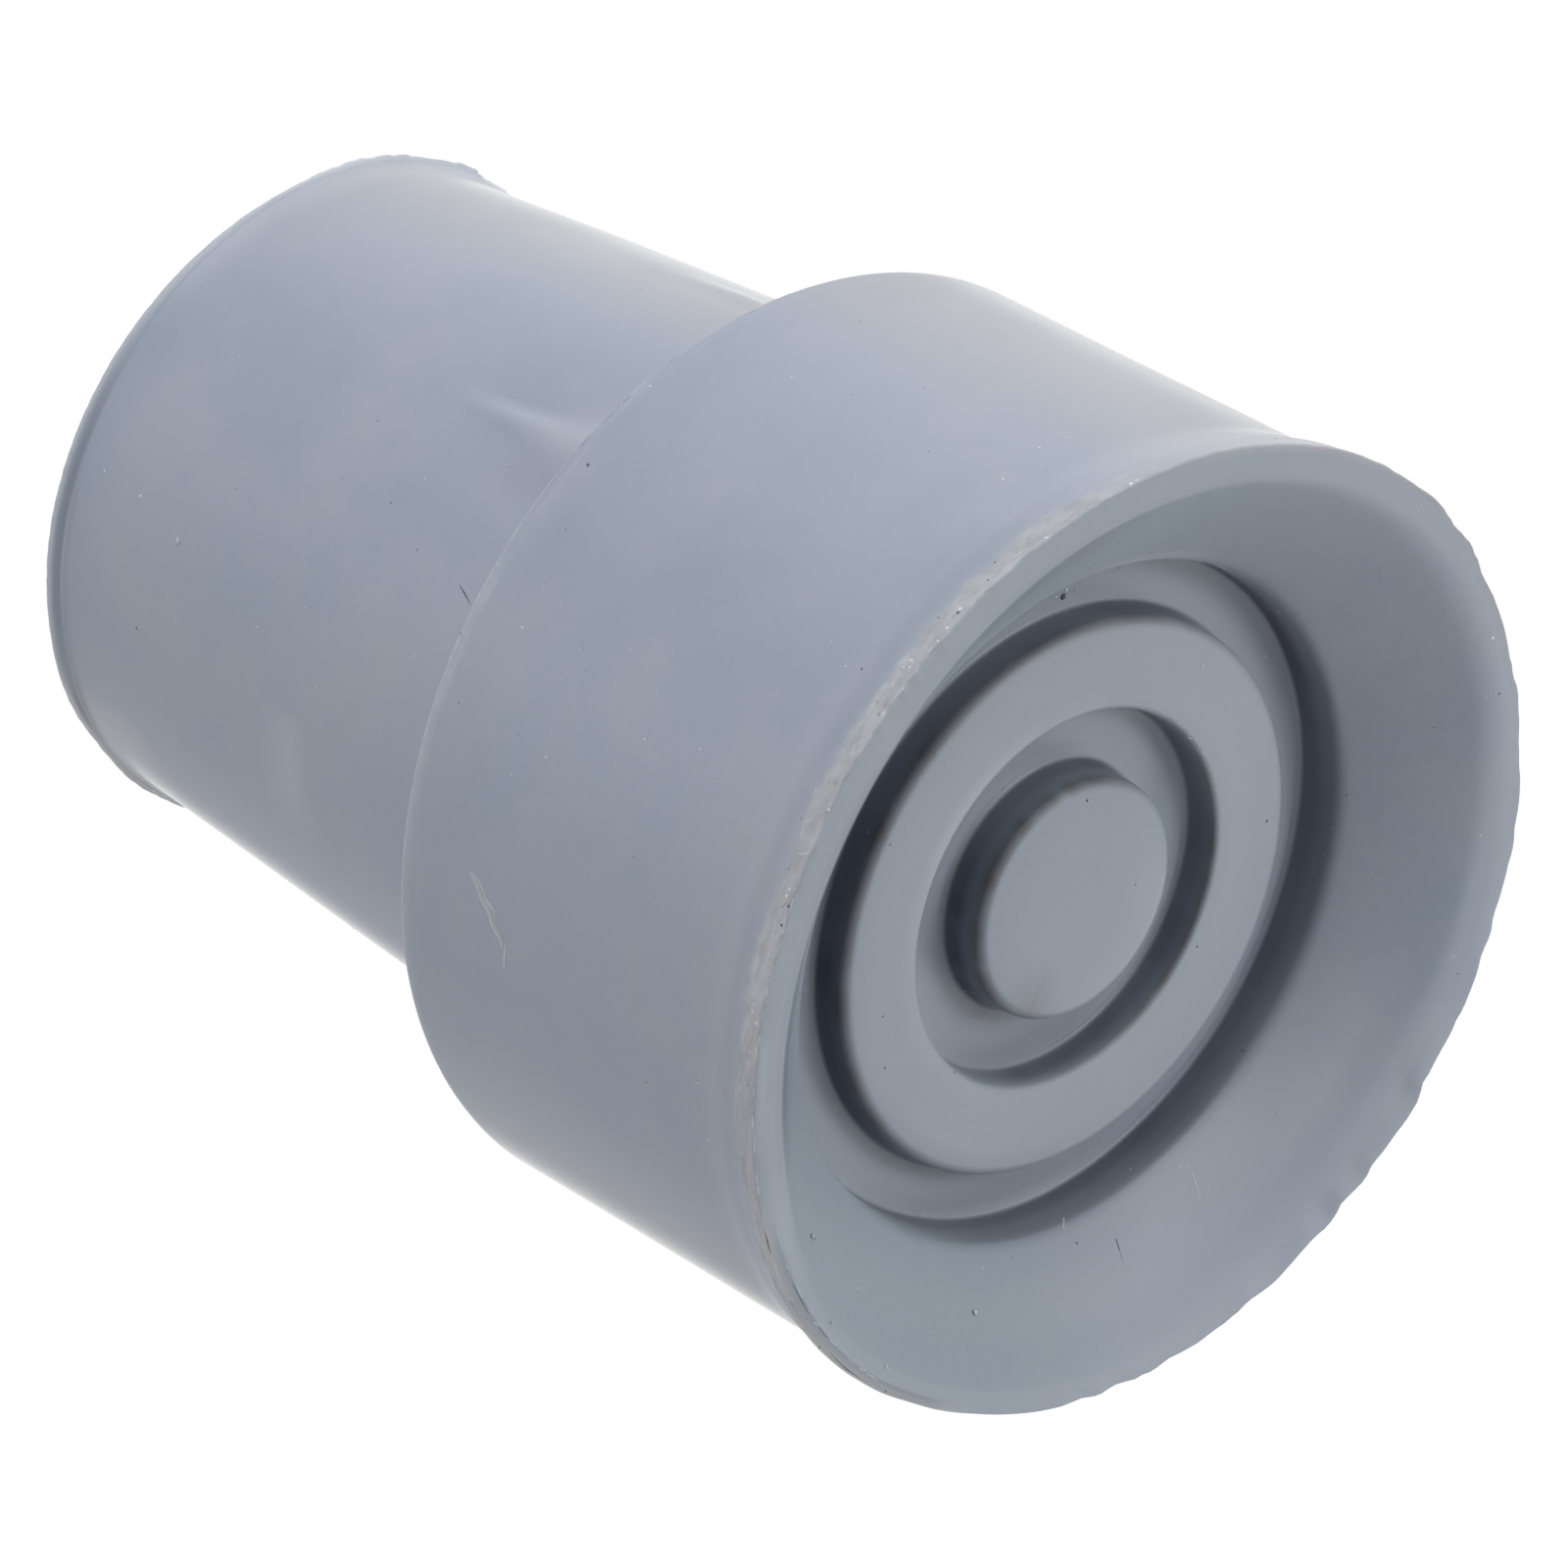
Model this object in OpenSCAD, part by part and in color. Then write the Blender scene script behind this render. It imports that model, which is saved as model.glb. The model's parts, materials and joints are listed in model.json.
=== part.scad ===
// Rubber cane tip
//
// One moulded piece of rubber that is pushed onto the end of a walking cane.
// It stands on its tread: the tread is a shallow dish inside a flat contact
// rim, with a ring and a central boss that two moulded grooves set apart.
// A wide cylindrical base carries the tread, and a tapered neck rises from
// the base's shoulder and holds a blind socket for the cane.
//
// Frame: the origin is the centre of the contact rim, on the floor that the
// tip stands on. +Z runs up the socket's axis, so the tread faces -Z and the
// mouth of the socket faces +Z. All sizes are in millimetres.
//
// The tip is one revolved outline. Its corners are listed once, each with its
// own rounding, and a function turns every corner into a tangent arc.

/* [Base] */
// Diameter of the base's straight side
base_d = 38.9; // [37:0.1:48]
// Height of the shoulder above the floor
base_h = 21; // [15:0.5:28]
// Rounding of the shoulder's outer edge
shoulder_edge_r = 0.3; // [0.1:0.05:1.5]

/* [Contact rim] */
// How far the rim stands out past the base's side
rim_flare = 0.55; // [0.2:0.05:1.2]
// Height of the rim's upright band
rim_band_h = 1.35; // [0.8:0.05:2.5]
// How much the band narrows from its foot to its top
rim_band_taper = 0.18; // [0:0.02:0.3]
// Height of the cove between the band and the base's side
rim_cove_h = 1.9; // [0.8:0.1:3.5]
// Width of the flat land that meets the floor
rim_land_w = 1.45; // [0.8:0.05:2.2]
// Rounding between the land and the dish
land_edge_r = 1; // [0.2:0.1:2.4]

/* [Tread] */
// Diameter of the dish where it meets the outer groove
dish_d = 28.4; // [26.5:0.1:30]
// Depth of the dish at that diameter
dish_depth = 3.75; // [2:0.05:5]
// Outer diameter of the tread ring
ring_od = 23.1; // [20:0.1:24.5]
// Inner diameter of the tread ring
ring_id = 15.7; // [14:0.1:18]
// Depth of the ring's face
ring_depth = 4.25; // [2.5:0.05:5]
// Diameter of the central boss
boss_d = 9.95; // [7:0.05:11.5]
// Depth of the boss's face
boss_depth = 3.85; // [2.5:0.05:5]
// Depth of the floor of both grooves
groove_depth = 5.8; // [5.4:0.1:8]
// Draft of the groove walls in degrees
groove_draft = 6; // [2:0.5:12]
// Rounding of the edges of the ring and the boss
tread_edge_r = 0.5; // [0.1:0.05:0.8]
// Rounding where the dish turns down into the outer groove
dish_edge_r = 1; // [0.2:0.1:1.6]
// Rounding at the foot of the groove walls
groove_fillet_r = 0.3; // [0.1:0.05:0.8]

/* [Neck] */
// Height of the whole tip
total_h = 49.3; // [42:0.1:62]
// Diameter of the neck where it leaves the shoulder
neck_root_d = 31.8; // [29:0.1:34]
// Diameter of the neck just below the mouth
neck_mouth_d = 28.2; // [25:0.1:29.5]
// Fillet between the shoulder and the neck
neck_fillet_r = 1.4; // [0.4:0.1:2.5]
// How far the mouth's lip stands out past the neck
mouth_lip_w = 0.25; // [0.1:0.05:0.8]
// Height of the mouth's lip, with its cove
mouth_lip_h = 0.75; // [0.5:0.05:2]
// Rounding of the mouth's outer edge
mouth_edge_r = 0.25; // [0.1:0.05:0.4]

/* [Socket] */
// Diameter of the socket, a push fit on a cane shaft
socket_d = 19; // [15:0.5:22]
// Depth of the socket
socket_depth = 35; // [26:0.5:36]
// Fillet at the foot of the socket's wall
socket_fillet_r = 1; // [0.2:0.1:2]
// Width and height of the chamfer that leads the shaft in
lead_in = 0.9; // [0.3:0.1:1.2]

/* [Colour] */
// Colour of the rubber
rubber_colour = "slategray"; // [slategray, dimgray, black, tan]

/* [Hidden] */
$fn = 128;
// Straight steps in each rounded corner
arc_steps = 5;
// How far a cutting shape runs past the face it opens
overrun = 1;

base_r = base_d / 2;
rim_r = base_r + rim_flare;
rim_band_r = rim_r - rim_band_taper;
land_inner_r = rim_r - rim_land_w;
dish_r = dish_d / 2;
ring_or = ring_od / 2;
ring_ir = ring_id / 2;
boss_r = boss_d / 2;
neck_root_r = neck_root_d / 2;
neck_mouth_r = neck_mouth_d / 2;
lip_r = neck_mouth_r + mouth_lip_w;
lip_foot_z = total_h - mouth_lip_h;
// Half of the lip's height is its cove, and half its upright edge
lip_edge_z = total_h - mouth_lip_h / 2;
socket_r = socket_d / 2;
socket_floor_z = total_h - socket_depth;

// How far a groove wall leans in from its top edge, at the given depth of that edge
function lean(edge_depth) = (groove_depth - edge_depth) * tan(groove_draft);

function unit(v) = v / norm(v);

// The longest run that a rounding may take from the side between two corners
function half_side(p, q) = 0.48 * norm(p - q);

// Points of the arc with centre c and radius r, from angle a through the signed turn
function arc(c, r, a, turn) = [
    for (i = [0:arc_steps])
        c + r * [cos(a + turn * i / arc_steps), sin(a + turn * i / arc_steps)]
];

// Corner q between p and s, replaced by the arc of radius r that touches both sides.
// A rounding that is too large for its sides is limited by them.
function round_corner(p, q, s, r) =
    let (
        to_p = unit(p - q),
        to_s = unit(s - q),
        half_angle = acos(to_p * to_s) / 2,
        run = min(r / tan(half_angle), half_side(p, q), half_side(q, s)),
        r_fit = run * tan(half_angle),
        centre = q + unit(to_p + to_s) * r_fit / sin(half_angle),
        first = q + to_p * run - centre,
        last = q + to_s * run - centre,
        start = atan2(first.y, first.x),
        sweep = atan2(last.y, last.x) - start,
        turn = sweep > 180 ? sweep - 360 : sweep < -180 ? sweep + 360 : sweep
    )
    arc(centre, r_fit, start, turn);

// Outline through corners [radius, height, rounding], where a rounding of 0 is sharp
function outline(corners) =
    let (
        count = len(corners),
        place = [for (c = corners) [c[0], c[1]]]
    )
    [
        for (i = [0:count - 1])
            let (
                before = place[(i + count - 1) % count],
                after = place[(i + 1) % count]
            )
            each corners[i][2] > 0
                ? round_corner(before, place[i], after, corners[i][2])
                : [place[i]]
    ];

// Raised faces and grooves, from the axis out to the flat land
tread_corners = [
    [0, boss_depth, 0],
    [boss_r, boss_depth, tread_edge_r],
    [boss_r + lean(boss_depth), groove_depth, groove_fillet_r],
    [ring_ir - lean(ring_depth), groove_depth, groove_fillet_r],
    [ring_ir, ring_depth, tread_edge_r],
    [ring_or, ring_depth, tread_edge_r],
    [ring_or + lean(ring_depth), groove_depth, groove_fillet_r],
    [dish_r - lean(dish_depth), groove_depth, groove_fillet_r],
    [dish_r, dish_depth, dish_edge_r],
    [land_inner_r, 0, land_edge_r]
];

// Contact rim, cove, side and shoulder
base_corners = [
    [rim_r, 0, 0],
    [rim_band_r, rim_band_h, 0],
    [base_r, rim_band_h + rim_cove_h, rim_cove_h * 3],
    [base_r, base_h, shoulder_edge_r]
];

// Neck and lip, closed over the axis: the socket is cut afterwards
neck_corners = [
    [neck_root_r, base_h, neck_fillet_r],
    [neck_mouth_r, lip_foot_z, mouth_edge_r],
    [lip_r, lip_edge_z, mouth_edge_r],
    [lip_r, total_h, mouth_edge_r],
    [0, total_h, 0]
];

module moulded_body() {
    rotate_extrude() polygon(outline(concat(tread_corners, base_corners, neck_corners)));
}

// Blind hole with a filleted floor and a chamfered mouth
module socket_cut() {
    rotate_extrude() polygon(outline([
        [0, socket_floor_z, 0],
        [socket_r, socket_floor_z, socket_fillet_r],
        [socket_r, total_h - lead_in, 0],
        [socket_r + lead_in + overrun, total_h + overrun, 0],
        [0, total_h + overrun, 0]
    ]));
}

module cane_tip() {
    color(rubber_colour) difference() {
        moulded_body();
        socket_cut();
    }
}

cane_tip();
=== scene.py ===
# %% [markdown]
# # A worn rubber cane tip
#
# A cane tip is one piece of moulded rubber: a wide base with a dished tread,
# and a tapered neck with a blind socket for the cane.  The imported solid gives
# its place and its size.  This lesson turns a finer body from the same
# section, moves its points as trimming, moulding and wear moved the real
# rubber, scatters its crumbs and scratches, and gives it a rubber material.

import json
import math

import bpy
import numpy as np
from mathutils import Matrix, Vector

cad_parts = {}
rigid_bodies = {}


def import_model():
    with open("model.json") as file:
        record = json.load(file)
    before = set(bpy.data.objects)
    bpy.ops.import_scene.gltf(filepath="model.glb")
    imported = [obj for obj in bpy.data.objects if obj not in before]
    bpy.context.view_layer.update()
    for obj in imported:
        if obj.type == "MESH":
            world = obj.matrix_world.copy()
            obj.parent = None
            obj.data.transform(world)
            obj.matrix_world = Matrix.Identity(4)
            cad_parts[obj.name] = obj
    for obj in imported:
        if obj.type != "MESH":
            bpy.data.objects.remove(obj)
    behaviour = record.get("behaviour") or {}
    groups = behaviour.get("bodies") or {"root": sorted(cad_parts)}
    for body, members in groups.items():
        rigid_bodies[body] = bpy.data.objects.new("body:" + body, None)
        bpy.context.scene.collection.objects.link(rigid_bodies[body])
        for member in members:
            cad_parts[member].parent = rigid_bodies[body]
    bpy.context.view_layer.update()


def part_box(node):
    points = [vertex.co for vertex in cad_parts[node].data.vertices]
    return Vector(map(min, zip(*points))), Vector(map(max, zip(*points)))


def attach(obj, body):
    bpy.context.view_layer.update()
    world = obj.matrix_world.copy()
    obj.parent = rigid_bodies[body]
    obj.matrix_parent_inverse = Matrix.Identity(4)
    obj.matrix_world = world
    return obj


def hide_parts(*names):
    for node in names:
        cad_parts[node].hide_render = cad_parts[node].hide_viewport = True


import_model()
MM = 0.001
low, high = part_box("cane_tip")
rim_r = (high.x - low.x) / 2 / MM
total_h = high.z / MM

# %% [markdown]
# ## The section
#
# The tip is turned about one axis, so half of its section says nearly all.
# The section is a list of corners.  Each has a name, a radius, a height, the
# rounding of its edge, and the longest step on the side that follows it:
# short steps go where trimming and wear will move the surface later.  The
# sizes are the moulder's, in millimetres; rim and height come from the frame.

# %% Sizes of the section
base_r = 19.45
base_h = 21.0
band_h = 1.35
band_r = rim_r - 0.18
cove_h = 1.9
land_r = rim_r - 1.45
dish_r = 14.2
dish_depth = 3.75
ring_out_r = 11.55
ring_in_r = 7.85
ring_depth = 4.25
boss_r = 4.97
boss_depth = 3.85
groove_depth = 5.8
draft = math.radians(6.0)
neck_root_r = 15.9
neck_mouth_r = 14.1
lip_r = neck_mouth_r + 0.25
lip_z = total_h - 0.55
lip_edge_z = total_h - 0.28
socket_r = 9.5
socket_floor = total_h - 35.0
lead_in = 0.9
print(f"grooves {groove_depth} mm deep, {socket_floor:.1f} mm of rubber up to the socket's floor")


# %% The section's corners
def lean(edge_depth):
    """How far a groove wall leans from its edge to the groove's floor."""
    return (groove_depth - edge_depth) * math.tan(draft)


def section(land_rounding):
    """The corners, from the axis under the boss to the axis on the socket's floor."""
    return [
        ("boss", 0.0, boss_depth, 0.0, 2.5),
        ("boss_edge", boss_r, boss_depth, 0.45, 0.5),
        ("boss_foot", boss_r + lean(boss_depth), groove_depth, 0.2, 0.6),
        ("ring_in_foot", ring_in_r - lean(ring_depth), groove_depth, 0.2, 0.5),
        ("ring_in_edge", ring_in_r, ring_depth, 0.25, 0.9),
        ("ring_out_edge", ring_out_r, ring_depth, 0.5, 0.5),
        ("ring_out_foot", ring_out_r + lean(ring_depth), groove_depth, 0.2, 0.6),
        ("dish_foot", dish_r - lean(dish_depth), groove_depth, 0.2, 0.5),
        ("dish_edge", dish_r, dish_depth, 1.0, 0.6),
        ("land_edge", land_r, 0.0, land_rounding, 0.3),
        ("rim", rim_r, 0.0, 0.1, 0.15),
        ("band_top", band_r, band_h, 0.12, 0.3),
        ("cove", base_r, band_h + cove_h, cove_h * 3.0, 1.2),
        ("scuff", base_r, base_h - 0.75, 0.0, 0.3),
        ("shoulder", base_r, base_h, 0.3, 0.8),
        ("neck_root", neck_root_r, base_h, 1.4, 1.2),
        ("lip_root", neck_mouth_r + 0.03, lip_z - 0.45, 0.0, 0.5),
        ("lip_foot", neck_mouth_r, lip_z, 0.15, 0.2),
        ("lip_out", lip_r, lip_edge_z, 0.12, 0.2),
        ("lip_top", lip_r - 0.05, total_h, 0.12, 0.7),
        ("mouth", socket_r + lead_in, total_h, 0.15, 0.6),
        ("lead", socket_r, total_h - lead_in, 0.3, 7.0),
        ("socket_foot", socket_r, socket_floor, 1.0, 4.5),
        ("socket_floor", 0.0, socket_floor, 0.0, 1.0),
    ]


print(f"section: {len(section(0.5))} corners")

# %% [markdown]
# ## Rounding the corners
#
# A Bevel modifier could round the edges, but it would lose track of which
# point belongs to which corner.  So each corner gets its own arc here, and
# the rows of points that belong to it are kept under its name.  The same
# outline is made twice, with a crisp land edge and with a worn one: both have
# the same rows, so the body can pass from one to the other round the rim.


# %% Round the corners
def rounded(corners, cuts=None):
    """Points of the outline, the rows of each corner, and the cuts of each side."""
    place = [np.array(c[1:3]) for c in corners]
    arcs = []
    for i, (_, _, _, rounding, _) in enumerate(corners):
        if rounding == 0.0:
            arcs.append([place[i]])
            continue
        before = place[i - 1] - place[i]
        after = place[i + 1] - place[i]
        reach = 0.48 * min(np.linalg.norm(before), np.linalg.norm(after))
        before /= np.linalg.norm(before)
        after /= np.linalg.norm(after)
        half = math.acos(float(np.clip(before @ after, -1.0, 1.0))) / 2
        run = min(rounding / math.tan(half), reach)
        middle = (before + after) / np.linalg.norm(before + after)
        centre = place[i] + middle * run / math.cos(half)
        arm = place[i] + before * run - centre
        turned_by = math.pi - 2 * half
        turned_by = math.copysign(turned_by, before[1] * after[0] - before[0] * after[1])
        steps = 3 if rounding < 0.4 else 5
        arc = []
        for k in range(steps + 1):
            c = math.cos(turned_by * k / steps)
            s = math.sin(turned_by * k / steps)
            arc.append(centre + np.array([c * arm[0] - s * arm[1], s * arm[0] + c * arm[1]]))
        arcs.append(arc)
    gaps = [arcs[i + 1][0] - arcs[i][-1] for i in range(len(arcs) - 1)]
    if cuts is None:
        cuts = [max(1, math.ceil(np.linalg.norm(g) / c[4])) for g, c in zip(gaps, corners)]
    outline = []
    rows = {}
    for i, arc in enumerate(arcs):
        rows[corners[i][0]] = (len(outline), len(outline) + len(arc) - 1)
        outline.extend(arc)
        if i < len(gaps):
            outline.extend(arc[-1] + gaps[i] * k / cuts[i] for k in range(1, cuts[i]))
    return np.array(outline), rows, cuts


crisp_rounding = 0.5
worn_rounding = 2.6
crisp, rows, cuts = rounded(section(crisp_rounding))
worn_soft, _, _ = rounded(section(worn_rounding), cuts)
print(f"outline: {len(crisp)} points")

# %% [markdown]
# ## Turning the body
#
# A shape turned about an axis follows one rule, so Geometry Nodes can make
# it.  A grid gets one row for each outline point and one column for each step
# round the axis, and each grid point moves to its place on its circle.
# Crowding draws the columns toward angle 0, where the finest wear is.
# Merging by distance closes the seam and the two poles, and the row number
# stays with each point as an attribute, for the shaping that comes later.


# %% Helpers for node trees
def add(tree, kind, values=None, **settings):
    """A node with its settings.  An input takes a number, another node or one of its outputs."""
    node = tree.nodes.new(kind)
    for key, value in settings.items():
        setattr(node, key, value)
    for key, value in (values or {}).items():
        if isinstance(value, bpy.types.Node):
            value = value.outputs[0]
        if isinstance(value, bpy.types.NodeSocket):
            tree.links.new(value, node.inputs[key])
        else:
            node.inputs[key].default_value = value
    return node


def through(tree, geometry, kind, values=None, **settings):
    """What comes out of a node when geometry goes into its first input."""
    return add(tree, kind, {0: geometry, **(values or {})}, **settings).outputs[0]


def maths(tree, operation, a, b=0.0):
    """The output of one Math node."""
    return add(tree, "ShaderNodeMath", {0: a, 1: b}, operation=operation).outputs[0]


def new_tree(name, sizes):
    """A Geometry Nodes tree with geometry in and out, and a named input for each size."""
    tree = bpy.data.node_groups.new(name, "GeometryNodeTree")
    tree.is_modifier = True
    sockets = tree.interface
    sockets.new_socket("Geometry", in_out="OUTPUT", socket_type="NodeSocketGeometry")
    sockets.new_socket("Geometry", in_out="INPUT", socket_type="NodeSocketGeometry")
    for title, kind in sizes:
        sockets.new_socket(title, in_out="INPUT", socket_type=f"NodeSocket{kind}")
    return tree, tree.nodes.new("NodeGroupInput"), tree.nodes.new("NodeGroupOutput")


def run_tree(mesh, tree, values):
    """Runs a tree on a mesh and returns the evaluated result as a plain mesh."""
    obj = bpy.data.objects.new(tree.name, mesh)
    bpy.context.scene.collection.objects.link(obj)
    modifier = obj.modifiers.new(tree.name, "NODES")
    modifier.node_group = tree
    for item in tree.interface.items_tree:
        if item.in_out == "INPUT" and item.name in values:
            modifier[item.identifier] = values[item.name]
    graph = bpy.context.evaluated_depsgraph_get()
    result = bpy.data.meshes.new_from_object(obj.evaluated_get(graph))
    bpy.data.objects.remove(obj)
    return result


number_on_points = {"data_type": "FLOAT", "domain": "POINT"}

# %% The turning tree
rubber = bpy.data.materials.new("worn_grey_rubber")
turning, asked, made = new_tree("turn_section", [
    ("Steps", "Int"),
    ("Crowding", "Float"),
    ("Weld distance", "Float"),
])
outline_in = asked.outputs["Geometry"]
size = add(turning, "GeometryNodeAttributeDomainSize", {"Geometry": outline_in})
columns = maths(turning, "ADD", asked.outputs["Steps"], 1.0)
grid = add(turning, "GeometryNodeMeshGrid", {
    "Vertices X": size,
    "Vertices Y": columns,
})
index = add(turning, "GeometryNodeInputIndex").outputs[0]
row = maths(turning, "DIVIDE", maths(turning, "ADD", index, 0.5), columns)
row = maths(turning, "FLOOR", row)
column = maths(turning, "SUBTRACT", index, maths(turning, "MULTIPLY", row, columns))
share = maths(turning, "DIVIDE", column, asked.outputs["Steps"])
even_turn = maths(turning, "MULTIPLY", share, math.tau)
crowded = maths(turning, "SINE", even_turn)
crowded = maths(turning, "MULTIPLY", crowded, asked.outputs["Crowding"])
turn = maths(turning, "SUBTRACT", even_turn, crowded)
spot = add(turning, "GeometryNodeSampleIndex", {
    "Geometry": outline_in,
    "Value": add(turning, "GeometryNodeInputPosition"),
    "Index": row,
}, data_type="FLOAT_VECTOR", domain="POINT")
apart = add(turning, "ShaderNodeSeparateXYZ", {0: spot})
on_circle = add(turning, "ShaderNodeCombineXYZ", {
    "X": maths(turning, "MULTIPLY", apart.outputs["X"], maths(turning, "COSINE", turn)),
    "Y": maths(turning, "MULTIPLY", apart.outputs["X"], maths(turning, "SINE", turn)),
    "Z": apart.outputs["Z"],
})
placed = through(turning, grid, "GeometryNodeSetPosition", {"Position": on_circle})
numbered = through(turning, placed, "GeometryNodeStoreNamedAttribute", {
    "Name": "row",
    "Value": row,
}, **number_on_points)
welded = through(turning, numbered, "GeometryNodeMergeByDistance", {
    "Distance": asked.outputs["Weld distance"],
})
outward = through(turning, welded, "GeometryNodeFlipFaces")
real = through(turning, outward, "GeometryNodeRealizeInstances")
painted = through(turning, real, "GeometryNodeSetMaterial", {"Material": rubber})
turning.links.new(painted, made.inputs[0])
print(f"turning tree: {len(turning.nodes)} nodes")

# %% Turn the section into the body
steps_round = 430
wire = bpy.data.meshes.new("section")
wire.from_pydata(
    [(r * MM, 0.0, z * MM) for r, z in crisp],
    [(i, i + 1) for i in range(len(crisp) - 1)],
    [],
)
body = run_tree(wire, turning, {"Steps": steps_round, "Crowding": 0.35, "Weld distance": 1e-6})
print(f"body: {len(body.vertices)} points, {len(body.polygons)} faces")

# %% [markdown]
# ## Shaping the body
#
# The real tip isn't a perfect turning.  It could be sculpted, but moves that
# are written as rules stay editable: each point knows its row in the section
# and its angle round the axis, and each flaw adds to its radius, its height
# or its sideways shift.  Angle 0 is +X, and 90 degrees is +Y.  Small helpers
# say where a flaw begins and ends, and one more gives it a grain.

# %% Where every point is
count = len(body.vertices)
place = np.zeros(count * 3)
body.vertices.foreach_get("co", place)
place = place.reshape(-1, 3) / MM
number = np.zeros(count)
body.attributes["row"].data.foreach_get("value", number)
number = np.rint(number).astype(int)
angle = np.degrees(np.arctan2(place[:, 1], place[:, 0]))
level = np.zeros(count)
print(f"rows 0 to {number.max()}, {count} points")


# %% Helpers that say where
def ramp(x, start, end):
    """0 at start and before it, 1 at end and past it, and a smooth rise between."""
    t = np.clip((x - start) / (end - start), 0.0, 1.0)
    return t * t * (3.0 - 2.0 * t)


def fade(x, start, end):
    """1 at start and before it, 0 at end and past it, and a smooth fall between."""
    return 1.0 - ramp(x, start, end)


def stretch_of(x, rise, full, fall, end):
    """Rises from `rise` to `full`, stays at 1, and falls from `fall` to `end`."""
    return ramp(x, rise, full) * fade(x, fall, end)


def apart_from(centre):
    """How far each point lies from an angle, in degrees round the axis."""
    return np.abs((angle - centre + 180.0) % 360.0 - 180.0)


def hump(centre, half_width):
    """1 at an angle, falling smoothly to 0 at half_width degrees on both sides."""
    return fade(apart_from(centre), 0.0, half_width)


def humps(*touches):
    """The sum of several humps, each given as its size, its angle and its half-width."""
    return sum(amount * hump(centre, half_width) for amount, centre, half_width in touches)


def between(first, last):
    """True on the rows from one named corner to another."""
    return (number >= rows[first][0]) & (number <= rows[last][1])


def grain(across, up, cell, seed):
    """Smooth noise from -1 to 1: `across` cells round the axis, each `cell` tall in `up`."""
    table = np.random.default_rng(seed).uniform(-1.0, 1.0, (across, 97))
    x = (angle / 360.0 % 1.0) * across
    y = up / cell
    i = np.floor(x).astype(int)
    j = np.floor(y).astype(int)
    u = ramp(x - i, 0.0, 1.0)
    v = ramp(y - j, 0.0, 1.0)
    below = table[i % across, j % 97] * (1 - u) + table[(i + 1) % across, j % 97] * u
    above = table[i % across, (j + 1) % 97] * (1 - u) + table[(i + 1) % across, (j + 1) % 97] * u
    return below * (1 - v) + above * v


# %% Crisp near edge, soft far edge
soft_land = ramp(apart_from(-10.0), 60.0, 125.0)
radius = crisp[number, 0] * (1 - soft_land) + worn_soft[number, 0] * soft_land
height = crisp[number, 1] * (1 - soft_land) + worn_soft[number, 1] * soft_land
worn_away = fade(apart_from(-125.0), 48.0, 80.0) * between("dish_edge", "rim")
worn_slope = dish_depth * (rim_r - radius) / (rim_r - dish_r)
height += worn_away * 0.85 * ramp(radius, 14.6, 17.5) * (worn_slope - height)
print(f"land edge: {crisp_rounding} mm of rounding, {worn_rounding} mm over "
      f"{np.mean(soft_land > 0.5):.0%} of the turn")

# %% Off-centre tread
shift = np.interp(radius, [0.0, 5.0, 8.0, 12.0, 14.2, 18.4], [0.0, 0.03, 0.12, 0.12, 0.25, 0.0])
shift = np.where(between("boss", "land_edge"), shift, 0.0)
print(f"tread up to {shift.max():.2f} mm off the axis")

# %% A rim, a dish and a neck that aren't quite round
near_floor = between("land_edge", "cove") * fade(height, 1.5, 5.0) * ramp(radius, 18.0, 19.5)
radius += near_floor * humps(
    (0.17, 115.0, 32.0), (-0.2, -118.0, 48.0), (0.36, 150.0, 34.0), (0.2, 180.0, 17.0),
    (0.05, -127.0, 20.0), (0.14, 86.0, 20.0), (0.12, 101.0, 16.0), (0.07, -82.0, 18.0),
)
radius -= between("dish_foot", "land_edge") * 0.2 * hump(-92.0, 42.0) * fade(radius, 14.4, 16.5)
radius += 0.05 * between("cove", "shoulder") * ramp(height, 2.0, 6.0)
height += 0.08 * between("shoulder", "neck_root") * fade(height, base_h, base_h + 1.5)
mid_neck = between("neck_root", "lip_root") * stretch_of(height, 22.0, 25.0, 40.0, 47.0)
radius += mid_neck * 0.12 * hump(92.0, 28.0)
mouth_end = between("neck_root", "mouth") * ramp(height, 35.0, total_h)
radius -= mouth_end * 0.17 * hump(20.0, 46.0)
rim_radius = radius[between("rim", "rim")]
print(f"rim: {rim_radius.min():.2f} to {rim_radius.max():.2f} mm")

# %% [markdown]
# ## The trimmed rim
#
# Rubber squeezes out where a mould closes, and a knife trims it off.  Each
# stroke of the knife leaves a nearly straight facet and a small step where
# the next one starts, so the far side of the rim is scalloped.  A repeated
# pattern would look machined, so the strokes are listed one by one: where
# each starts, bites deepest and ends, in degrees, and its depth.  Fine nicks
# between them come from noise.

# %% Knife cuts on the far side
strokes = [
    (99.5, 102.5, 106.5, 0.15), (107.5, 111.5, 118.0, 0.14), (119.0, 127.5, 129.5, 0.12),
    (131.5, 138.5, 141.0, 0.14), (144.5, 147.5, 149.0, 0.1), (149.5, 158.0, 160.5, 0.2),
    (161.0, 162.7, 165.0, 0.12), (169.0, 179.3, 180.8, 0.3), (183.5, 189.5, 191.5, 0.2),
    (192.0, 195.6, 197.0, 0.26), (198.5, 201.5, 206.0, 0.14), (209.5, 212.0, 214.5, 0.16),
    (221.5, 224.0, 227.0, 0.12), (230.0, 233.0, 235.5, 0.14), (236.0, 238.5, 241.5, 0.12),
    (246.0, 256.0, 262.0, 0.1),
]
cut_depth = np.zeros(count)
for begins, deepest, ends, depth in strokes:
    bite = np.interp(angle % 360.0, [begins, deepest, ends], [0.0, depth, 0.0])
    cut_depth = np.maximum(cut_depth, bite)
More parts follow.
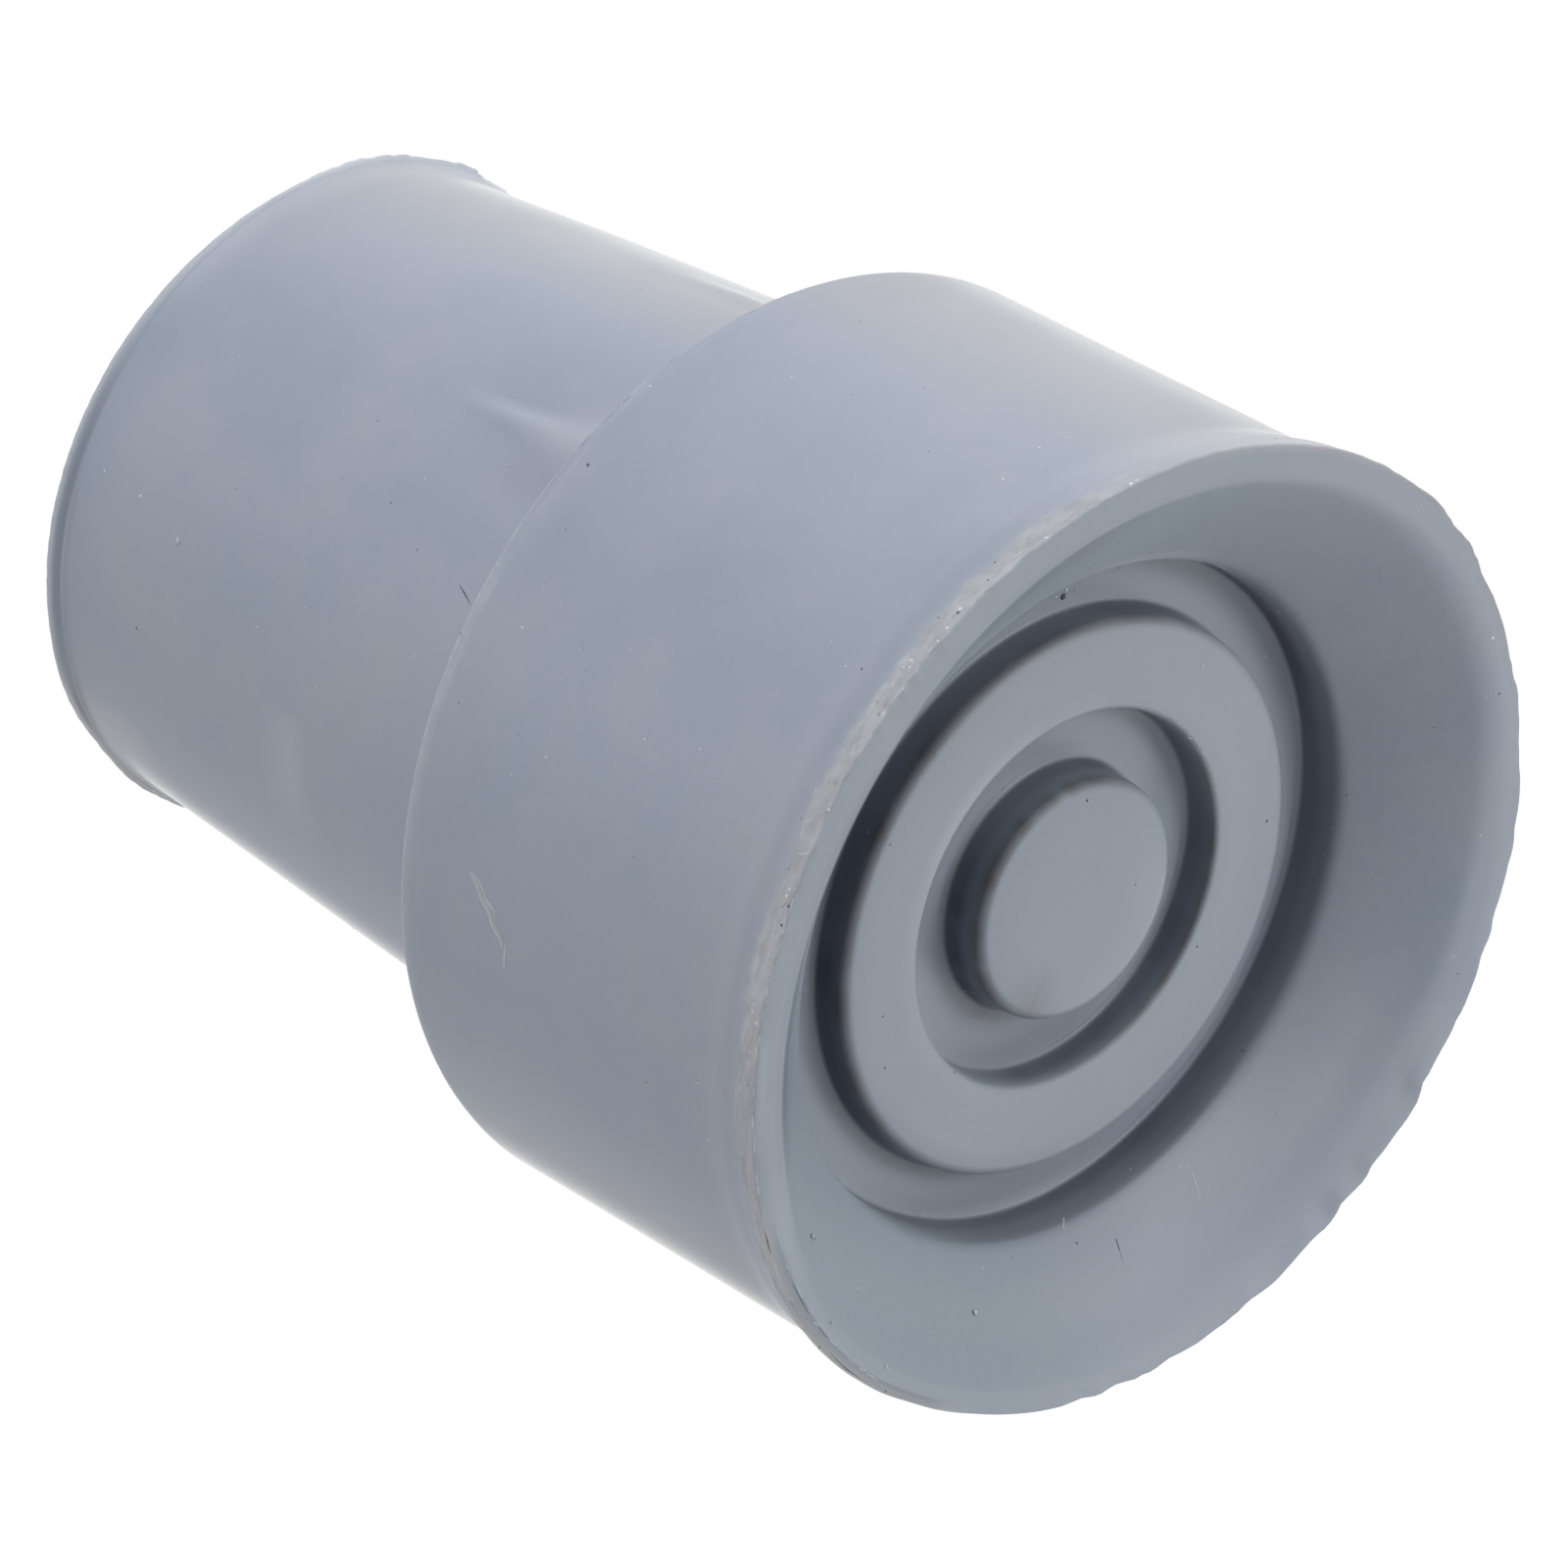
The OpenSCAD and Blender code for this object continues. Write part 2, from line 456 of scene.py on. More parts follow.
nicks = 0.04 * (1.0 + grain(280, level, 1.0, 11)) * ramp(apart_from(-20.0), 95.0, 112.0)
spare = 0.03
cut_reach = between("land_edge", "cove") * ramp(radius, 18.9, 19.9) * fade(height, 0.9, 2.2)
radius -= (cut_depth + nicks - spare) * cut_reach
print(f"{len(strokes)} knife cuts up to {cut_depth.max():.2f} mm deep")

# %% [markdown]
# ## The torn strip
#
# On the near side the strip of flash was torn off, not cut: the band is
# pitted and streaked, its upper border is ragged, and at the lower left the
# edge was scraped to a bevel.  A displacement texture could do this, but the
# same noise in the points also gives the material a mask of where it is.

# %% Scraped bevel
torn_turn = stretch_of(angle, -108.0, -86.0, 36.0, 58.0)
scraped = stretch_of(angle, -106.0, -92.0, -66.0, -50.0)
bevel_in = rim_r - 0.62
bevel_up = 0.6
bevel = scraped * bevel_up * np.clip((radius - bevel_in) / (rim_r - bevel_in), 0.0, 1.0)
on_land = between("land_edge", "rim") & (height < 0.05)
on_band = between("rim", "band_top") & ~on_land
height = np.where(on_land, np.maximum(height, bevel), height)
lifted = height + scraped * bevel_up * (1.0 - height / (band_h + 0.1))
height = np.where(on_band, lifted, height)
print(f"bevel: {bevel_up} mm high over {np.mean(scraped > 0.5):.0%} of the turn")

# %% Torn strip on the near side
side_up = np.where(between("rim", "lip_top"), height, 0.0)
ragged = 0.16 * grain(300, side_up, 0.6, 3) + 0.12 * grain(110, side_up, 0.5, 4)
strip_h = 1.25 - 0.1 * ramp(angle, -35.0, -20.0) - 0.15 * ramp(angle, 28.0, 48.0)
strip_h -= 0.4 * stretch_of(-angle, 46.0, 54.0, 68.0, 78.0)
strip = between("rim", "cove") * ramp(height, -0.02, 0.1)
strip = strip * fade(height + ragged - strip_h, -0.25, 0.1)
strip_on_land = on_land * scraped * ramp(radius, bevel_in - 0.32, bevel_in - 0.04)
torn = np.maximum(strip, strip_on_land) * torn_turn
streaks = grain(420, side_up, 0.9, 5) * 0.6 + grain(180, side_up, 0.35, 6) * 0.4
lines = grain(60, side_up, 0.16, 7)
relief = np.where(angle > -42.0, streaks, lines)
torn_side = torn * between("rim", "cove")
radius += torn_side * (0.035 * relief - 0.07 * ramp(-relief, 0.5, 0.95))
print(f"torn strip: {np.count_nonzero(torn > 0.5)} points")

# %% Chipped rim edge
rim_edge = between("rim", "rim")
chips = grain(520, side_up, 1.0, 8) + grain(120, side_up, 1.0, 9)
height += rim_edge * torn_turn * (1.0 - scraped) * 0.05 * chips
jagged = rim_edge * stretch_of(angle, 50.0, 60.0, 84.0, 98.0)
height += jagged * 0.06 * (1.0 + grain(300, side_up, 1.0, 10))
print(f"rim edge: up to {height[rim_edge].max():.2f} mm off the floor")

# %% [markdown]
# ## The mouth and the neck
#
# At the mouth a fin of flash was left standing, and broke off in steps.  The
# rest of the lip is only a little wavy.  The neck shows where the rubber
# folded as it was pulled from the mould: low soft ridges.

# %% Flash on the lip
outer_lip = between("lip_foot", "mouth") * ramp(height, lip_z - 0.1, lip_edge_z)
outer_lip = outer_lip * ramp(radius, 12.6, 14.0)
fin_steps = ((48, 55, 0.04), (55, 62, 0.08), (62, 69, 0.1), (69, 80, 0.05), (80, 86, 0.12))
fin = np.zeros(count)
for begins, ends, proud in fin_steps:
    fin = np.where((angle >= begins) & (angle < ends), proud, fin)
fin *= 1.0 + 0.45 * grain(300, level, 1.0, 31)
fragment = ((angle > 87.0) & (angle < 92.0)) * 0.16
wave = 0.02 * grain(40, level, 1.0, 32) + 0.015 * grain(260, level, 1.0, 33)
wavy_low = hump(-92.0, 55.0)
trimmed = 0.06 * hump(40.0, 40.0) + 0.24 * stretch_of(angle, 85.8, 86.2, 120.0, 160.0)
flush = stretch_of(angle, -14.0, 18.0, 92.0, 110.0) + 0.7 * fade(angle, -86.0, -56.0)
under_lip = between("lip_root", "lip_out") & (height < lip_z + 0.1)
radius += under_lip * 0.22 * flush * ramp(height, lip_z - 0.5, lip_z - 0.1)
radius += outer_lip * (0.12 + (fin + fragment) * 0.75 + wave * (0.5 + wavy_low) - trimmed)
height += outer_lip * (0.1 + fin * 0.9 + wave * 0.7 - 0.1 * hump(45.0, 45.0))
print(f"fin: up to {fin.max():.2f} mm proud")

# %% The lip's low side
low_lip = stretch_of(-angle, 52.0, 62.0, 100.0, 125.0)
lip_neck = between("lip_root", "lip_foot")
height += lip_neck * 0.1 * low_lip
radius -= outer_lip * 0.1 * hump(-73.0, 12.0)
print(f"low side: {np.mean(low_lip > 0.5):.0%} of the turn")

# %% Soft ridges on the neck
neck = between("shoulder", "lip_foot")
ridge_centre = 22.0 + 3.0 * fade(height, 21.0, 26.0)
ridge_width = 2.8 + 5.0 * fade(height, 23.0, 29.0)
ridge = fade(np.abs(angle - ridge_centre), 0.0, ridge_width) * fade(height, 27.0, 32.5)
fold = hump(70.0, 5.0) * fade(height, 29.0, 34.0)
hollow = hump(14.0, 7.0) * fade(height, 25.0, 29.0)
ridge_relief = 0.3 * ridge - 0.17 * hollow + 0.12 * fold
radius += neck * ramp(height, 21.1, 22.5) * ridge_relief
print(f"ridges: {ridge_relief.min():.2f} to {ridge_relief.max():.2f} mm")

# %% Slight waviness everywhere, and put the points back
tall = np.where(between("band_top", "lip_foot"), height, 0.0)
radius += between("band_top", "lip_foot") * 0.02 * grain(14, tall, 7.0, 41)
height += between("boss", "land_edge") * 0.012 * grain(18, radius, 3.0, 42)
turned = np.radians(angle)
place = np.stack([radius * np.cos(turned), radius * np.sin(turned) - shift, height], axis=1)
body.vertices.foreach_set("co", (place * MM).ravel())
body.shade_smooth()
body.update()
print(f"body: height {height.min():.2f} to {height.max():.2f} mm, radius to {radius.max():.2f} mm")

# %% [markdown]
# ## Painted light and shade, wear and dirt as masks
#
# Most of what these masks paint is light and shade: painted shadow in the
# grooves, creases and corners, painted highlights on edges and on faces turned
# to the lamps, and painted sheen near the outline.  Some is the rubber's own
# wear and dirt.  Textures could be painted, but a mask on the points is a rule
# like the shaping: it says where, and the material's own noise breaks it up
# finely, so the mesh needn't be as fine as the marks.  The masks are:
#
# - `shade`, from -1, dark, to 1, pale: mostly painted shade and painted
#   highlights, with some scuffs, a pale stain and the scratches' and specks' tones;
# - `torn`, the torn strip, with `around` and `up`, places on it in
#   millimetres, squeezed where its scratches run along the rim;
# - `grime`, painted brown shade along the grooves' edges and under the lip,
#   with a little dirt on the boss, and `soot`, painted shade low in the grooves;
# - `tread`, a greener grey on the tread, and `dust`, a paler, warmer grey on
#   the upper flank that paints sheen there;
# - `rubbed`, a paler, warmer grey with more gloss on the low flank and by the
#   mouth's low side: painted sheen;
# - `dull`, which takes the sheen off, and `gleam`, how much the skin shines;
# - `crumbs`, where specks gather.

# %% Shade: the base's side
shade = np.zeros(count)
near = fade(apart_from(-5.0), 62.0, 100.0)
scuffed_edge = between("scuff", "shoulder") * ramp(height, base_h - 0.75, base_h - 0.5)
scuff_turn = 0.1 + 0.9 * hump(-4.0, 34.0)
shade += scuffed_edge * (0.06 + 0.06 * grain(150, tall, 0.5, 51)) * scuff_turn
# The shoulder's rounding is crumbled and paler at the front, with a painted highlight along it there,
# and painted shade on its upper side.
corner = between("shoulder", "shoulder")
crumbled_highlight = 0.04 + 0.06 * grain(620, tall, 0.1, 52) + 0.04 * grain(170, tall, 0.1, 53)
shade += corner * hump(-10.0, 38.0) * crumbled_highlight
shade += corner * (0.07 * hump(-40.0, 40.0) - 0.1 * ramp(angle, 44.0, 56.0))
shade += between("scuff", "scuff") * 0.06 * hump(6.0, 10.0)
# A little darker below the shoulder at the front; painted shade in the cove under the band at the front,
# and painted light on the band's upper side.
shade -= between("cove", "scuff") * 0.03 * ramp(height, 16.0, 19.0) * near
under_band = between("band_top", "cove") * stretch_of(height, 1.2, 1.5, 1.8, 2.8)
shade -= 0.13 * under_band * near * fade(angle, 30.0, 56.0)
shade += between("rim", "band_top") * 0.05 * hump(72.0, 26.0)
print(f"shade on the base: {shade.min():.2f} to {shade.max():.2f}")

# %% Shade: the lip
# Painted shade in the corner under the lip; painted light on the lip's outer face, on the fin's lower
# face with a darker top edge, and near the outline on the low side.
lip_line = between("lip_root", "lip_out") * fade(height, lip_z + 0.1, lip_edge_z)
shade -= lip_line * 0.13 * hump(-30.0, 48.0) * ramp(height, lip_z - 0.44, lip_z - 0.2)
mouth_face = between("lip_out", "mouth")
shade += mouth_face * 0.2 * ramp(height, lip_edge_z - 0.1, lip_edge_z + 0.05)
finned = stretch_of(angle, 34.0, 62.0, 89.0, 94.0)
fin_top = ramp(height, total_h + 0.02, total_h + 0.12)
shade += finned * (0.16 * lip_line + outer_lip * (0.16 - 0.5 * fin_top))
shade += low_lip * (0.1 * outer_lip + 0.07 * lip_neck)
print(f"shade on the lip: {shade[lip_neck].min():.2f} to {shade[lip_neck].max():.2f}")

# %% Shade: the neck
# Painted light on the ridge and painted shadow in the hollow beside it, painted sheen near the upper and
# lower outlines, and darker near the root at the front; the patch is a pale stain.
shade += neck * (0.12 * ridge - 0.11 * hollow)
shade += neck * 0.1 * hump(-78.0, 24.0) * ramp(height, 43.0, 46.0)
shade += neck * 0.045 * hump(77.0, 26.0) * ramp(height, 23.0, 27.0)
shade += neck * 0.05 * hump(-81.0, 15.0) * fade(height, 38.0, 43.0)
shade -= neck * 0.035 * hump(5.0, 62.0) * fade(height, 23.0, 32.0)
shade -= neck * 0.025 * hump(27.0, 18.0) * fade(height, 28.0, 34.0)
patch = stretch_of(angle, -58.0, -44.0, -37.0, -33.0) * stretch_of(height, 32.6, 33.1, 33.4, 34.8)
shade += neck * 0.13 * patch
print(f"shade on the neck: {shade[neck].min():.2f} to {shade[neck].max():.2f}")

# %% Shade: the torn strip
shade += torn * (0.1 * hump(-25.0, 11.0) - 0.07 * hump(-47.0, 12.0) - 0.04 * ramp(angle, 15.0, 30.0))
# The strip's upper part is darker near -4 degrees.
darker_strip_top = (torn > 0.0) * between("rim", "band_top") * hump(-4.0, 8.0)
shade -= 0.06 * darker_strip_top * ramp(height, 0.5, 0.8)
shade += on_land * scraped * (0.12 * ramp(radius, 19.4, 19.6) + 0.06 * hump(-82.0, 16.0))
print(f"shade on the strip: {shade[torn > 0.5].min():.2f} to {shade[torn > 0.5].max():.2f}")

# %% Shade: the dish, the land and the ring
# Painted shade in the crease and the line below the land's edge, over the dish's face at the front and
# low down, and on the ring's outer edge low down; painted light on the dish's face at the far side,
# along the dish's edge in two places, on the ring's inner edge at the front and over the ring's face,
# most on its upper side.  The land is a little paler, and darker near 154 degrees.
dish_face = between("dish_edge", "land_edge")
near_left = fade(apart_from(0.0), 38.0, 56.0)
crease = stretch_of(radius, 15.3, 18.0, 18.45, 18.65)
shade -= dish_face * near_left * (0.03 + 0.2 * crease)
shade -= dish_face * 0.12 * (hump(-19.0, 24.0) * crease + hump(-4.0, 9.0))
land_line = dish_face * stretch_of(radius, 17.2, 18.0, 18.35, 18.5)
shade -= land_line * 0.22 * hump(-37.0, 16.0)
shade -= dish_face * 0.05 * hump(-62.0, 28.0) * fade(radius, 16.3, 17.3)
shade += dish_face * 0.16 * hump(-160.0, 36.0) * fade(radius, 14.6, 16.6)
shade -= dish_face * 0.035 * hump(-112.0, 52.0) * ramp(radius, 14.4, 15.2)
shade -= dish_face * humps((0.03, 122.0, 30.0), (0.05, -45.0, 60.0))
land = between("land_edge", "rim") * ramp(radius, 18.75, 19.0)
shade += land * (0.03 - 0.07 * hump(154.0, 20.0))
shade += between("dish_edge", "dish_edge") * humps((0.26, 28.0, 20.0), (0.13, 62.0, 24.0))
shade += between("ring_in_edge", "ring_in_edge") * 0.06 * hump(5.0, 35.0)
shade -= between("ring_out_edge", "ring_out_edge") * 0.1 * hump(-100.0, 48.0)
shade += between("ring_in_edge", "ring_out_edge") * (0.045 + 0.05 * hump(105.0, 85.0))
print(f"shade on the dish: {shade[dish_face].min():.2f} to {shade[dish_face].max():.2f}")

# %% Shade: the dish's wall
# Painted shade on the dish's wall: on its upper part in places, and most over the low far side.
dish_wall = between("dish_foot", "dish_edge")
shade -= dish_wall * 0.1 * hump(90.0, 20.0)
wall_top = dish_wall * ramp(height, 3.9, 4.2)
shade -= wall_top * humps((0.1, -168.0, 34.0), (0.12, 112.0, 26.0), (0.08, 88.0, 20.0))
long_wall = dish_wall * stretch_of(-angle, 92.0, 116.0, 154.0, 178.0)
shade -= long_wall * 0.36 * stretch_of(height, 3.8, 4.05, 4.7, 5.3)
print(f"shade on the wall: {shade[dish_wall].min():.2f} to {shade[dish_wall].max():.2f}")

# %% Shade: the grooves' floors
# Painted shade on the grooves' floors, deepest at the walls' feet on the low side; painted light at the
# feet at the front and by the dish's foot low on the far side.
on_floor = ramp(height, groove_depth - 0.15, groove_depth - 0.05)
inner_floor = between("boss_foot", "ring_in_foot") * on_floor
outer_floor = between("ring_out_foot", "dish_foot") * on_floor
flanks = ramp(apart_from(170.0), 28.0, 52.0)
flanks = flanks * (1.0 - 0.9 * hump(12.0, 55.0) * fade(radius, 8.0, 9.0))
for groove, foot_r in ((inner_floor, boss_r + 0.2), (outer_floor, ring_out_r + 0.2)):
    from_foot = radius - foot_r
    shade -= groove * flanks * (0.12 + 0.05 * ramp(from_foot, 0.3, 1.0))
    shade += groove * 0.12 * hump(26.0, 46.0) * fade(from_foot, 0.35, 0.75)
    shade -= groove * 0.05 * hump(58.0, 30.0) * ramp(from_foot, 0.7, 1.2)
    shade -= groove * 0.05 * hump(-105.0, 35.0)
    shade -= groove * 0.45 * hump(-94.0, 50.0) * fade(from_foot, 0.1, 1.0)
shade -= outer_floor * 0.12 * hump(78.0, 24.0) * ramp(radius, 12.6, 13.3)
shade += outer_floor * 0.26 * hump(-132.0, 36.0) * ramp(radius, 13.2, 13.8)
shade -= inner_floor * 0.1 * hump(50.0, 24.0) * ramp(radius, 6.9, 7.5)
shade += inner_floor * 0.06 * hump(28.0, 26.0) * fade(radius, 5.6, 6.1)
shade += inner_floor * 0.1 * hump(-15.0, 40.0) * fade(radius, 5.35, 6.1)
print(f"shade in all: {shade.min():.2f} to {shade.max():.2f}")

# %% Painted shade low on the grooves' walls
# This paints shade into the colour low on the grooves' walls, darkest on the near side, where no light
# comes in.
walls = (
    ("boss_edge", "boss_foot"), ("ring_in_foot", "ring_in_edge"),
    ("ring_out_edge", "ring_out_foot"), ("dish_foot", "dish_edge"),
)
near_side = fade(apart_from(0.0), 60.0, 110.0)
groove_darkness = 0.45 + 0.3 * near_side + 0.15 * grain(40, radius, 1.0, 54)
soot = np.zeros(count)
for first, last in walls:
    low_wall = between(first, last) * stretch_of(height, 4.3, 5.2, 5.68, 5.79)
    low_wall = low_wall * (1.0 - 0.12 * ramp(height, 5.0, 5.6))
    soot = np.maximum(soot, low_wall * groove_darkness)
soot *= 1.0 - 0.22 * dish_wall * fade(apart_from(165.0), 18.0, 42.0)
soot *= 1.0 - 0.75 * between("ring_out_edge", "ring_out_foot") * hump(24.0, 62.0)
soot *= 1.0 - 0.6 * between("boss_edge", "boss_foot") * hump(24.0, 62.0)
soot *= 1.0 - between("ring_in_foot", "ring_in_edge") * fade(apart_from(0.0), 98.0, 128.0)
print(f"soot up to {soot.max():.2f}")

# %% Painted shade on the grooves' edges and under the lip, dirt on the boss
far_side = fade(apart_from(165.0), 30.0, 80.0)
edges_shaded = (
    ("boss_edge", boss_depth, near_side),
    ("ring_out_edge", ring_depth, near_side),
    ("ring_in_edge", ring_depth, far_side),
)
# Brown painted shade lies along the edges where the grooves' shadows begin, and in the corner under the
# lip's low side; only the patch on the boss is dirt.
grime = np.zeros(count)
for edge, edge_z, side in edges_shaded:
    painted_edge_shade = between(edge, edge) * ramp(height, edge_z - 0.01, edge_z + 0.12) * side
    grime = np.maximum(grime, painted_edge_shade * (0.45 + 0.25 * grain(60, radius, 1.0, 55)))
grime = np.maximum(grime, 0.3 * low_lip * lip_neck * ramp(height, lip_z - 0.3, lip_z))
boss_dirt = between("boss", "boss_foot") * hump(-98.0, 30.0) * ramp(radius, 3.9, 4.7)
grime = np.maximum(grime, 0.6 * boss_dirt * (0.7 + 0.3 * grain(120, radius, 0.3, 56)))
print(f"grime up to {grime.max():.2f}")

# %% Tread tint, painted sheen and crumbs
toward_near = fade(apart_from(-20.0), 70.0, 130.0)
# The tread is tinted a greener grey: all of its middle, and its outer part more on the near side than
# the far.
tread_tint = between("boss", "rim") * np.where(radius < 13.0, 0.9, 0.2 + 0.9 * toward_near)
crumbs = between("dish_edge", "dish_edge") * (0.6 + 0.6 * near)
crumbs += 0.4 * between("dish_foot", "dish_foot")
crumbs += 0.5 * (between("ring_out_foot", "ring_out_foot") | between("boss_foot", "boss_foot"))
crumbs += torn * 3.0 + scuffed_edge * 0.6 * near
# On the upper flank the colour turns a paler, warmer grey: a painted sheen, in place of some of the
# gloss that is taken off there.
dust = between("rim", "lip_root") * stretch_of(angle, 42.0, 72.0, 112.0, 150.0)
# On the low flank and by the mouth's low side the colour turns a paler, warmer grey with more gloss: a
# painted sheen.
rubbed = between("band_top", "lip_root") * stretch_of(-angle, 50.0, 82.0, 115.0, 150.0)
rubbed *= np.where(height > base_h, 0.5, 1.0)
lower_sheen_at_mouth = low_lip * between("neck_root", "lip_top") * ramp(height, 43.0, 46.0)
rubbed = np.maximum(rubbed, lower_sheen_at_mouth)
near_wall = dish_face * fade(apart_from(-5.0), 34.0, 62.0) * (radius < 18.6)
gleam = 0.5 - 0.23 * dust + 0.35 * rubbed - 0.4 * near_wall
dull = between("rim", "cove") * fade(height, 2.0, 4.5) + 0.75 * corner
dull = np.maximum(np.maximum(dull, 0.65 * dust), near_wall)
print(f"gleam: {gleam.min():.2f} to {gleam.max():.2f}")

# %% Store the masks on the body
around = rim_r * np.radians(angle + 38.0) * np.where(angle > -38.0, 0.5, 0.2)
masks = {
    "shade": shade, "torn": torn, "grime": grime, "soot": soot, "tread": tread_tint,
    "crumbs": crumbs, "around": around, "up": height, "dull": dull, "dust": dust,
    "rubbed": rubbed, "gleam": gleam,
}
for name, values in masks.items():
    body.attributes.new(name, "FLOAT", "POINT").data.foreach_set("value", values)
print(f"{len(masks)} masks on {count} points")

# %% [markdown]
# ## Scratches, scars and specks
#
# Small marks follow the surface, so Geometry Nodes lay them on.  Scratches
# are short lines and specks are single points, listed by angle and by height
# on the side or by radius on the tread.  The tree snaps them to the body,
# sweeps a bead along each line, puts a pebble on each point, scatters more
# pebbles at random, and presses them all nearly flat.

# %% Places on the body
tread = slice(0, rows["rim"][0] + 1)
base_side = slice(rows["rim"][1], rows["shoulder"][0] + 1)
neck_side = slice(rows["neck_root"][1], rows["lip_top"][0] + 1)


def on_tread(degrees, at_radius):
    """A place on the tread, from its angle and radius."""
    return degrees, at_radius, float(np.interp(at_radius, crisp[tread, 0], crisp[tread, 1]))


def on_base(degrees, at_height):
    """A place on the base's side, from its angle and height."""
    at_radius = float(np.interp(at_height, crisp[base_side, 1], crisp[base_side, 0]))
    return degrees, at_radius, at_height


def on_neck(degrees, at_height):
    """A place on the neck, from its angle and height."""
    at_radius = float(np.interp(at_height, crisp[neck_side, 1], crisp[neck_side, 0]))
    return degrees, at_radius, at_height


edge_height = on_tread(0.0, dish_r)[2]
print(f"the dish edge is {edge_height:.2f} mm up, the base {on_base(0.0, base_h / 2)[1]:.2f} mm out")

# %% Scratches
# Each has its carrier, its points, its half-width in mm and its shade.
scratches = [
    (on_base, [
        (-31.6, 17.0), (-31.8, 16.6), (-32.5, 16.3), (-33.6, 16.0), (-34.4, 15.5),
        (-35.8, 15.4), (-37.1, 14.9), (-38.2, 14.72), (-39.6, 14.8), (-40.8, 14.8),
    ], 0.07, 0.5),
    (on_base, [
        (-31.5, 17.0), (-31.9, 16.7), (-32.8, 16.4), (-33.9, 16.1), (-34.9, 15.65),
        (-36.0, 15.5), (-37.2, 15.0), (-38.4, 14.85),
    ], 0.17, 0.3),
    (on_base, [(-40.8, 14.8), (-43.0, 14.65), (-46.0, 14.3), (-49.0, 13.9)], 0.025, 0.3),
    (on_base, [(-31.0, 17.8), (-31.6, 17.0)], 0.03, 0.25),
    (on_neck, [(-3.1, 25.6), (-3.8, 25.15), (-4.7, 24.6)], 0.035, -0.8),
    (on_neck, [(-27.0, 27.4), (-29.6, 27.2)], 0.04, 0.25),
    (on_neck, [(-29.0, 27.9), (-31.0, 27.8)], 0.03, 0.25),
    (on_tread, [(-152.4, 14.9), (-151.6, 15.4), (-150.6, 15.9)], 0.035, 0.6),
    (on_tread, [(-129.7, 14.16), (-128.1, 14.35)], 0.05, 0.8),
    (on_tread, [(-135.6, 15.35), (-135.3, 15.7)], 0.06, -0.7),
    (on_tread, [(-135.3, 15.7), (-134.9, 16.1)], 0.03, -0.35),
    (on_tread, [
        (48.0, 5.5), (50.0, 5.75), (53.0, 5.8), (52.0, 5.6), (55.0, 5.75), (59.0, 5.85),
    ], 0.022, 0.14),
    (on_tread, [
        (60.0, 5.6), (62.0, 5.85), (65.0, 5.7), (64.0, 5.6), (67.0, 5.75), (73.0, 5.85),
    ], 0.022, 0.14),
    (on_base, [(-9.4, 0.15), (-9.9, 0.4), (-10.1, 0.7)], 0.035, 0.55),
    (on_base, [(-55.0, 0.12), (-57.0, 0.17), (-59.0, 0.22)], 0.03, -0.6),
    (on_base, [(-58.0, 0.9), (-62.0, 0.7), (-66.0, 0.55), (-70.0, 0.5)], 0.03, 0.5),
    (on_base, [(-60.0, 0.5), (-64.0, 0.75), (-68.0, 1.15)], 0.03, -0.4),
    (on_tread, [(-77.0, 5.1), (-77.6, 5.3)], 0.05, 0.7),
    (on_tread, [(-64.5, 19.6), (-67.0, 19.55), (-70.0, 19.55)], 0.03, -0.5),
    (on_tread, [(-72.6, 19.5), (-74.5, 19.5), (-76.5, 19.45)], 0.03, -0.5),
    (on_tread, [(-66.0, 19.45), (-67.4, 19.45)], 0.04, 0.7),
    (on_tread, [(-71.6, 19.6), (-72.6, 19.5)], 0.05, 0.8),
    (on_tread, [(-76.8, 19.45), (-77.4, 19.42)], 0.05, 0.7),
    (on_tread, [(-85.8, 19.6), (-86.8, 19.65)], 0.04, 0.7),
    (on_tread, [(-88.0, 18.65), (-88.5, 18.8)], 0.05, 0.8),
    (on_tread, [(-87.6, 18.7), (-88.1, 18.85)], 0.04, -0.7),
    (on_base, [(-60.0, 0.25), (-62.5, 0.4), (-65.0, 0.5)], 0.035, 0.6),
    (on_base, [(-63.0, 0.9), (-66.0, 0.8), (-70.0, 0.75), (-74.0, 0.8)], 0.02, -0.45),
    (on_base, [(-68.0, 0.3), (-72.0, 0.35), (-76.0, 0.5)], 0.028, 0.5),
    (on_base, [(-78.0, 0.45), (-82.0, 0.6), (-86.0, 0.7)], 0.025, -0.4),
    (on_base, [(-80.0, 0.8), (-85.0, 0.9), (-89.0, 1.1)], 0.028, 0.45),
    (on_base, [(80.0, 1.25), (88.0, 1.2), (94.0, 1.0), (100.0, 0.7)], 0.025, -0.3),
]
print(f"{len(scratches)} scratches")

